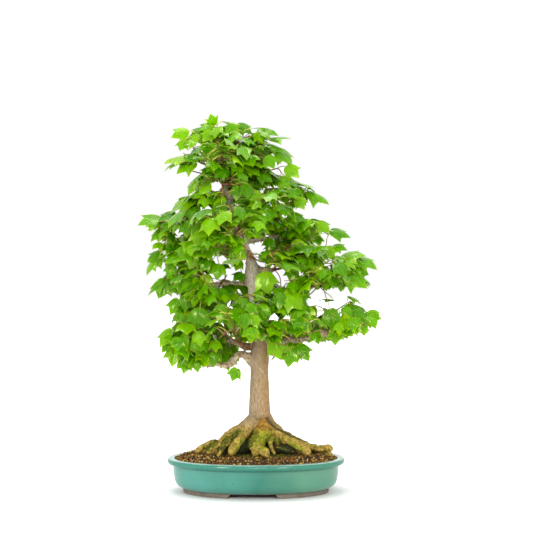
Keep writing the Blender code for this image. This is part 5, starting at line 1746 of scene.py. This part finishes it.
# %% Blade of a leaf
LOBE_OUTLINE = (
    (0.0, 0.03), (0.11, -0.015), (0.24, 0.035), (0.345, 0.14), (0.415, 0.3),
    (0.46, 0.48), (0.55, 0.745), (0.41, 0.69), (0.285, 0.675), (0.225, 0.77),
    (0.13, 0.9), (0.045, 1.0), (0.0, 1.07),
)
BLADE_MIDDLE = (0.0, 0.38)
BLADE_RINGS = (1.0, 0.74, 0.4)
BLADE_THICKNESS = 0.00045
FOLD = (0.0, 0.22)
CUP = (0.0, 0.42)
CURL = (0.08, 0.72)
PUCKER = 0.055
RUFFLE = 0.022
VEIN_ANGLE = math.radians(35)


def blade_pattern():
    """Flat points of one side of a leaf: rings drawn in toward the middle, then the middle."""
    half = np.array(LOBE_OUTLINE)
    edge = np.vstack([half, half[1:-1][::-1] * (-1, 1)])
    middle = np.array(BLADE_MIDDLE)
    rings = [middle + (edge - middle) * share for share in BLADE_RINGS]
    return len(edge), np.vstack([*rings, middle])


def blade_faces(count):
    """Quads and triangles of one closed blade, upper side first; both sides share the rim."""
    rim = np.arange(count)
    inner = count * np.arange(len(BLADE_RINGS) - 1)[:, None]
    below = count * len(BLADE_RINGS) + 1
    upper = np.vstack([rim, rim + count + inner])
    lower = np.vstack([rim, rim + below + inner])
    top_middle = np.full(count, below - 1)
    low_middle = np.full(count, below + inner[-1, 0] + count)
    top_fans = np.stack([upper[-1], np.roll(upper[-1], -1), top_middle], axis=-1)
    low_fans = np.stack([np.roll(lower[-1], -1), lower[-1], low_middle], axis=-1)
    return ring_walls(upper), top_fans, ring_walls(lower)[:, [1, 0, 3, 2]], low_fans


def bend_blades(chance):
    """All blades at once: pattern (x, y) to x along right, an arc of y ahead, and a lift up.

    The lift is -fold |x| - cup x^2, plus puckers r sin^2(pi angle / vein angle) between the
    veins and a ruffle round the rim. The arc turns down by the curl, in radians per length.
    """
    count, flat = blade_pattern()
    both = np.vstack([flat, flat[count:]])
    inner = np.ones(len(flat) - count)
    side = np.concatenate([np.zeros(count), inner, -inner])
    x, y = both[:, 0][None], both[:, 1][None]
    number = len(leaves)

    def varied(low, high):
        return chance.uniform(low, high, number)[:, None]

    angle = np.arctan2(x, y + 0.05)
    radius = np.hypot(x, y)
    out = np.clip(radius / 0.8, 0.0, 1.0)
    lift = -varied(*FOLD) * np.abs(x) - varied(*CUP) * x ** 2
    lift = lift + varied(0.4, 1.2) * PUCKER * radius * np.sin(math.pi * angle / VEIN_ANGLE) ** 2
    lift = lift + RUFFLE * out ** 2 * np.sin(5 * angle + varied(0, 2 * math.pi))
    lift = lift + varied(-0.25, 0.25) * x * y
    lift = lift + side[None] * BLADE_THICKNESS / 2 / lengths[:, None]
    curl = varied(*CURL)
    turned = curl * y
    forward = np.sin(turned) / curl + lift * np.sin(turned)
    lift = lift * np.cos(turned) - (1 - np.cos(turned)) / curl
    across = x * varied(0.92, 1.08)
    points = bases[:, None] + lengths[:, None, None] * (
        across[..., None] * rights[:, None] + forward[..., None] * aheads[:, None]
        + lift[..., None] * ups[:, None])
    return points, both


blade_points, blade_flat = bend_blades(np.random.default_rng(77))
print("blade points per leaf:", blade_points.shape[1])

# %% [markdown]
# Fresh maple leaves are waxy: a deep, slightly yellow green above that mirrors
# the lights softly, with paler veins, and a duller grey-green below. Light passes
# through so thin a blade, which is why a crown is never black inside, and a short
# subsurface reach gives that. The greens are dealt out leaf by leaf, because a
# picture on so many small blades would not survive an export.

# %% Leaf materials
TOP_GREENS = (
    ("mid green leaf", "#528e00", "#62a000", 0.4),
    ("deep green leaf", "#3e7a00", "#4c8a00", 0.28),
    ("fresh green leaf", "#669e00", "#78ae00", 0.28),
    ("yellow-green leaf", "#80ac00", "#90ba08", 0.04),
)
UNDER_GREENS = (
    ("leaf underside", "#6e9c20", "#80ae34", 0.7),
    ("pale leaf underside", "#86b048", "#9cc460", 0.3),
)
WAX_SHINE = 0.42
WAX_TINT = (0.96, 1.0, 0.4, 1.0)
LET_THROUGH = 0.7
LIGHT_REACH = 0.0016
LIGHT_TINT = (0.75, 1.0, 0.12)
VEIN_TONE = "#98c43c"
VEIN_WIDTH = 0.018
SIDE_VEIN = 0.62


def leaf_stuff(name, dark, light, roughness, vein_share):
    """Waxy blade: two greens in slow patches, and three paler veins on the leaf's own plan."""
    material, tree, shader, place = new_material(name, light, roughness, 1.45)
    patch = add_node(tree, "TexNoise", {"Vector": place, "Scale": per_metre(14), "Detail": 2.0})
    on_leaf = add_node(tree, "TexCoord").outputs["UV"]
    plan = add_node(tree, "SeparateXYZ", {"Vector": on_leaf}).outputs
    across = add_node(tree, "Math", {0: plan["X"], 1: 0.5}, operation="SUBTRACT")
    beside = add_node(tree, "Math", {0: across.outputs[0]}, operation="ABSOLUTE").outputs[0]
    slant = add_node(tree, "Math", {0: plan["Y"], 1: -SIDE_VEIN, 2: beside},
                     operation="MULTIPLY_ADD")
    off_side = add_node(tree, "Math", {0: slant.outputs[0]}, operation="ABSOLUTE")
    nearest = add_node(tree, "Math", {0: beside, 1: off_side.outputs[0]}, operation="MINIMUM")
    dress(tree, shader, layered(tree, dark, (
        (patch.outputs["Fac"], 0.35, 0.65, 1.0, light),
        (nearest.outputs[0], VEIN_WIDTH, VEIN_WIDTH * 0.4, vein_share, VEIN_TONE),
    )))
    for socket, value in (
            ("Specular IOR Level", WAX_SHINE), ("Specular Tint", WAX_TINT),
            ("Subsurface Weight", LET_THROUGH), ("Subsurface Scale", LIGHT_REACH),
            ("Subsurface Radius", LIGHT_TINT)):
        shader.inputs[socket].default_value = value
    return material


leaf_stuffs = [leaf_stuff(*green[:3], 0.18, 0.3) for green in TOP_GREENS]
leaf_stuffs += [leaf_stuff(*green[:3], 0.55, 0.25) for green in UNDER_GREENS]
print("leaf greens:", len(leaf_stuffs))

# %% Leaves as joined pieces
LEAVES_A_PIECE = 640


def leaf_piece(name, chosen, chance):
    """One mesh of many blades, the materials dealt out by leaf, the plan kept as a UV map."""
    edge_count, _ = blade_pattern()
    per_leaf = blade_points.shape[1]
    shift = per_leaf * np.arange(len(chosen))[:, None, None]
    tops, unders = (chance.choice(len(greens), len(chosen), p=[green[3] for green in greens])
                    for greens in (TOP_GREENS, UNDER_GREENS))
    unders += len(TOP_GREENS)
    faces = []
    indices = []
    for part, kind in zip(blade_faces(edge_count), (tops, tops, unders, unders)):
        faces += (part[None] + shift).reshape(-1, part.shape[1]).tolist()
        indices.append(np.repeat(kind, len(part)))
    points = blade_points[chosen].reshape(-1, 3) + MIDDLE
    piece = new_piece(name, points, faces, leaf_stuffs, np.concatenate(indices))
    plan = np.tile(blade_flat + (0.5, 0.0), (len(chosen), 1))
    corners = read_out(piece.data.loops, "vertex_index", kind=np.int64)
    layer = piece.data.uv_layers.new(name="plan")
    layer.uv.foreach_set("vector", plan[corners].astype(np.float32).ravel())
    ends = read_out(piece.data.edges, "vertices", 2, np.int64)
    sharp = piece.data.attributes.new("sharp_edge", "BOOLEAN", "EDGE")
    sharp.data.foreach_set("value", (ends % per_leaf < edge_count).all(axis=1))
    return piece


leaf_chance = np.random.default_rng(9)
groups = np.array_split(np.arange(len(leaves)), math.ceil(len(leaves) / LEAVES_A_PIECE))
for number, chosen in enumerate(groups):
    blades = leaf_piece(f"leaf_blades_{number + 1}", chosen, leaf_chance)
    finish_piece(blades, "foliage", *(mass_names if number == 0 else ()))

# %% [markdown]
# A plain studio, as for a catalogue: white paper below and behind, and soft lamps
# at the left, at the right, in front and above. Photographers light the paper
# apart, so that it goes white while the object keeps its colours. Here a Light
# Path node does the same: the paper glows in the picture, but not in the light
# that falls on the leaves. A brighter world would wash out every green.

# %% Floor, light and colour
FLOOR_SIDE = 30.0
FILL_LIGHT = 1.1
PAPER_WHITE = 1.0
FLOOR_GLOW = 0.42
GLOW_FROM = 0.92
GLOW_FULL = 1.3
LAMPS = (
    ("lamp_left", (-1.3, -2.2, 1.0), (0.42, 0.6), 16.0),
    ("lamp_right", (0.95, -2.25, 0.85), (0.32, 0.45), 11.5),
    ("lamp_front", (0.05, -2.6, 1.05), (0.6, 0.4), 8.0),
    ("lamp_top", (-0.2, 0.3, 2.4), (0.8, 0.8), 13.0),
)
AIM = (0.0, 0.0, 0.3)


def white_paper():
    """White paper floor with a glow in the picture, from none at the pot to full far away."""
    material, tree, shader, place = new_material("white studio paper", "#f6f6f4", 0.9)
    stretch = (1 / POT_HALF[0], 1 / POT_HALF[1], 1.0)
    oval_place = add_node(tree, "VectorMath", {0: place, 1: stretch}, operation="MULTIPLY")
    far = add_node(tree, "VectorMath", {0: oval_place.outputs[0]}, operation="LENGTH")
    rise = add_node(tree, "MapRange", {"Value": far.outputs["Value"], "From Min": GLOW_FROM,
                                       "From Max": GLOW_FULL, "To Max": FLOOR_GLOW})
    seen = add_node(tree, "LightPath").outputs["Is Camera Ray"]
    glow = add_node(tree, "Math", {0: seen, 1: rise.outputs[0]}, operation="MULTIPLY")
    shader.inputs["Emission Color"].default_value = (1.0, 1.0, 1.0, 1.0)
    tree.links.new(glow.outputs[0], shader.inputs["Emission Strength"])
    return material


floor_corners = np.array([[-1, -1, 0], [1, -1, 0], [1, 1, 0], [-1, 1, 0]]) * FLOOR_SIDE / 2
floor = new_piece("floor", floor_corners, [[0, 1, 2, 3]], [white_paper()])
world = bpy.data.worlds.new("studio")
world.use_nodes = True
background = world.node_tree.nodes["Background"]
background.inputs["Color"].default_value = (1.0, 1.0, 1.0, 1.0)
seen = add_node(world.node_tree, "LightPath").outputs["Is Camera Ray"]
strength = add_node(world.node_tree, "MapRange", {"Value": seen, "To Min": FILL_LIGHT,
                                                  "To Max": PAPER_WHITE})
world.node_tree.links.new(strength.outputs[0], background.inputs["Strength"])
scene.world = world
for name, place, size, watts in LAMPS:
    data = bpy.data.lights.new(name, "AREA")
    data.shape = "RECTANGLE"
    data.size, data.size_y = size
    data.energy = watts
    lamp = bpy.data.objects.new(name, data)
    lamp.location = place
    aim = np.array(AIM) - np.array(place)
    yaw = math.atan2(aim[1], aim[0]) - math.pi / 2
    lamp.rotation_euler = (math.acos(-aim[2] / norm(aim)), 0.0, yaw)
    scene.collection.objects.link(lamp)
scene.view_settings.view_transform = "Standard"
scene.view_settings.look = "None"
print("lamps:", len(LAMPS))
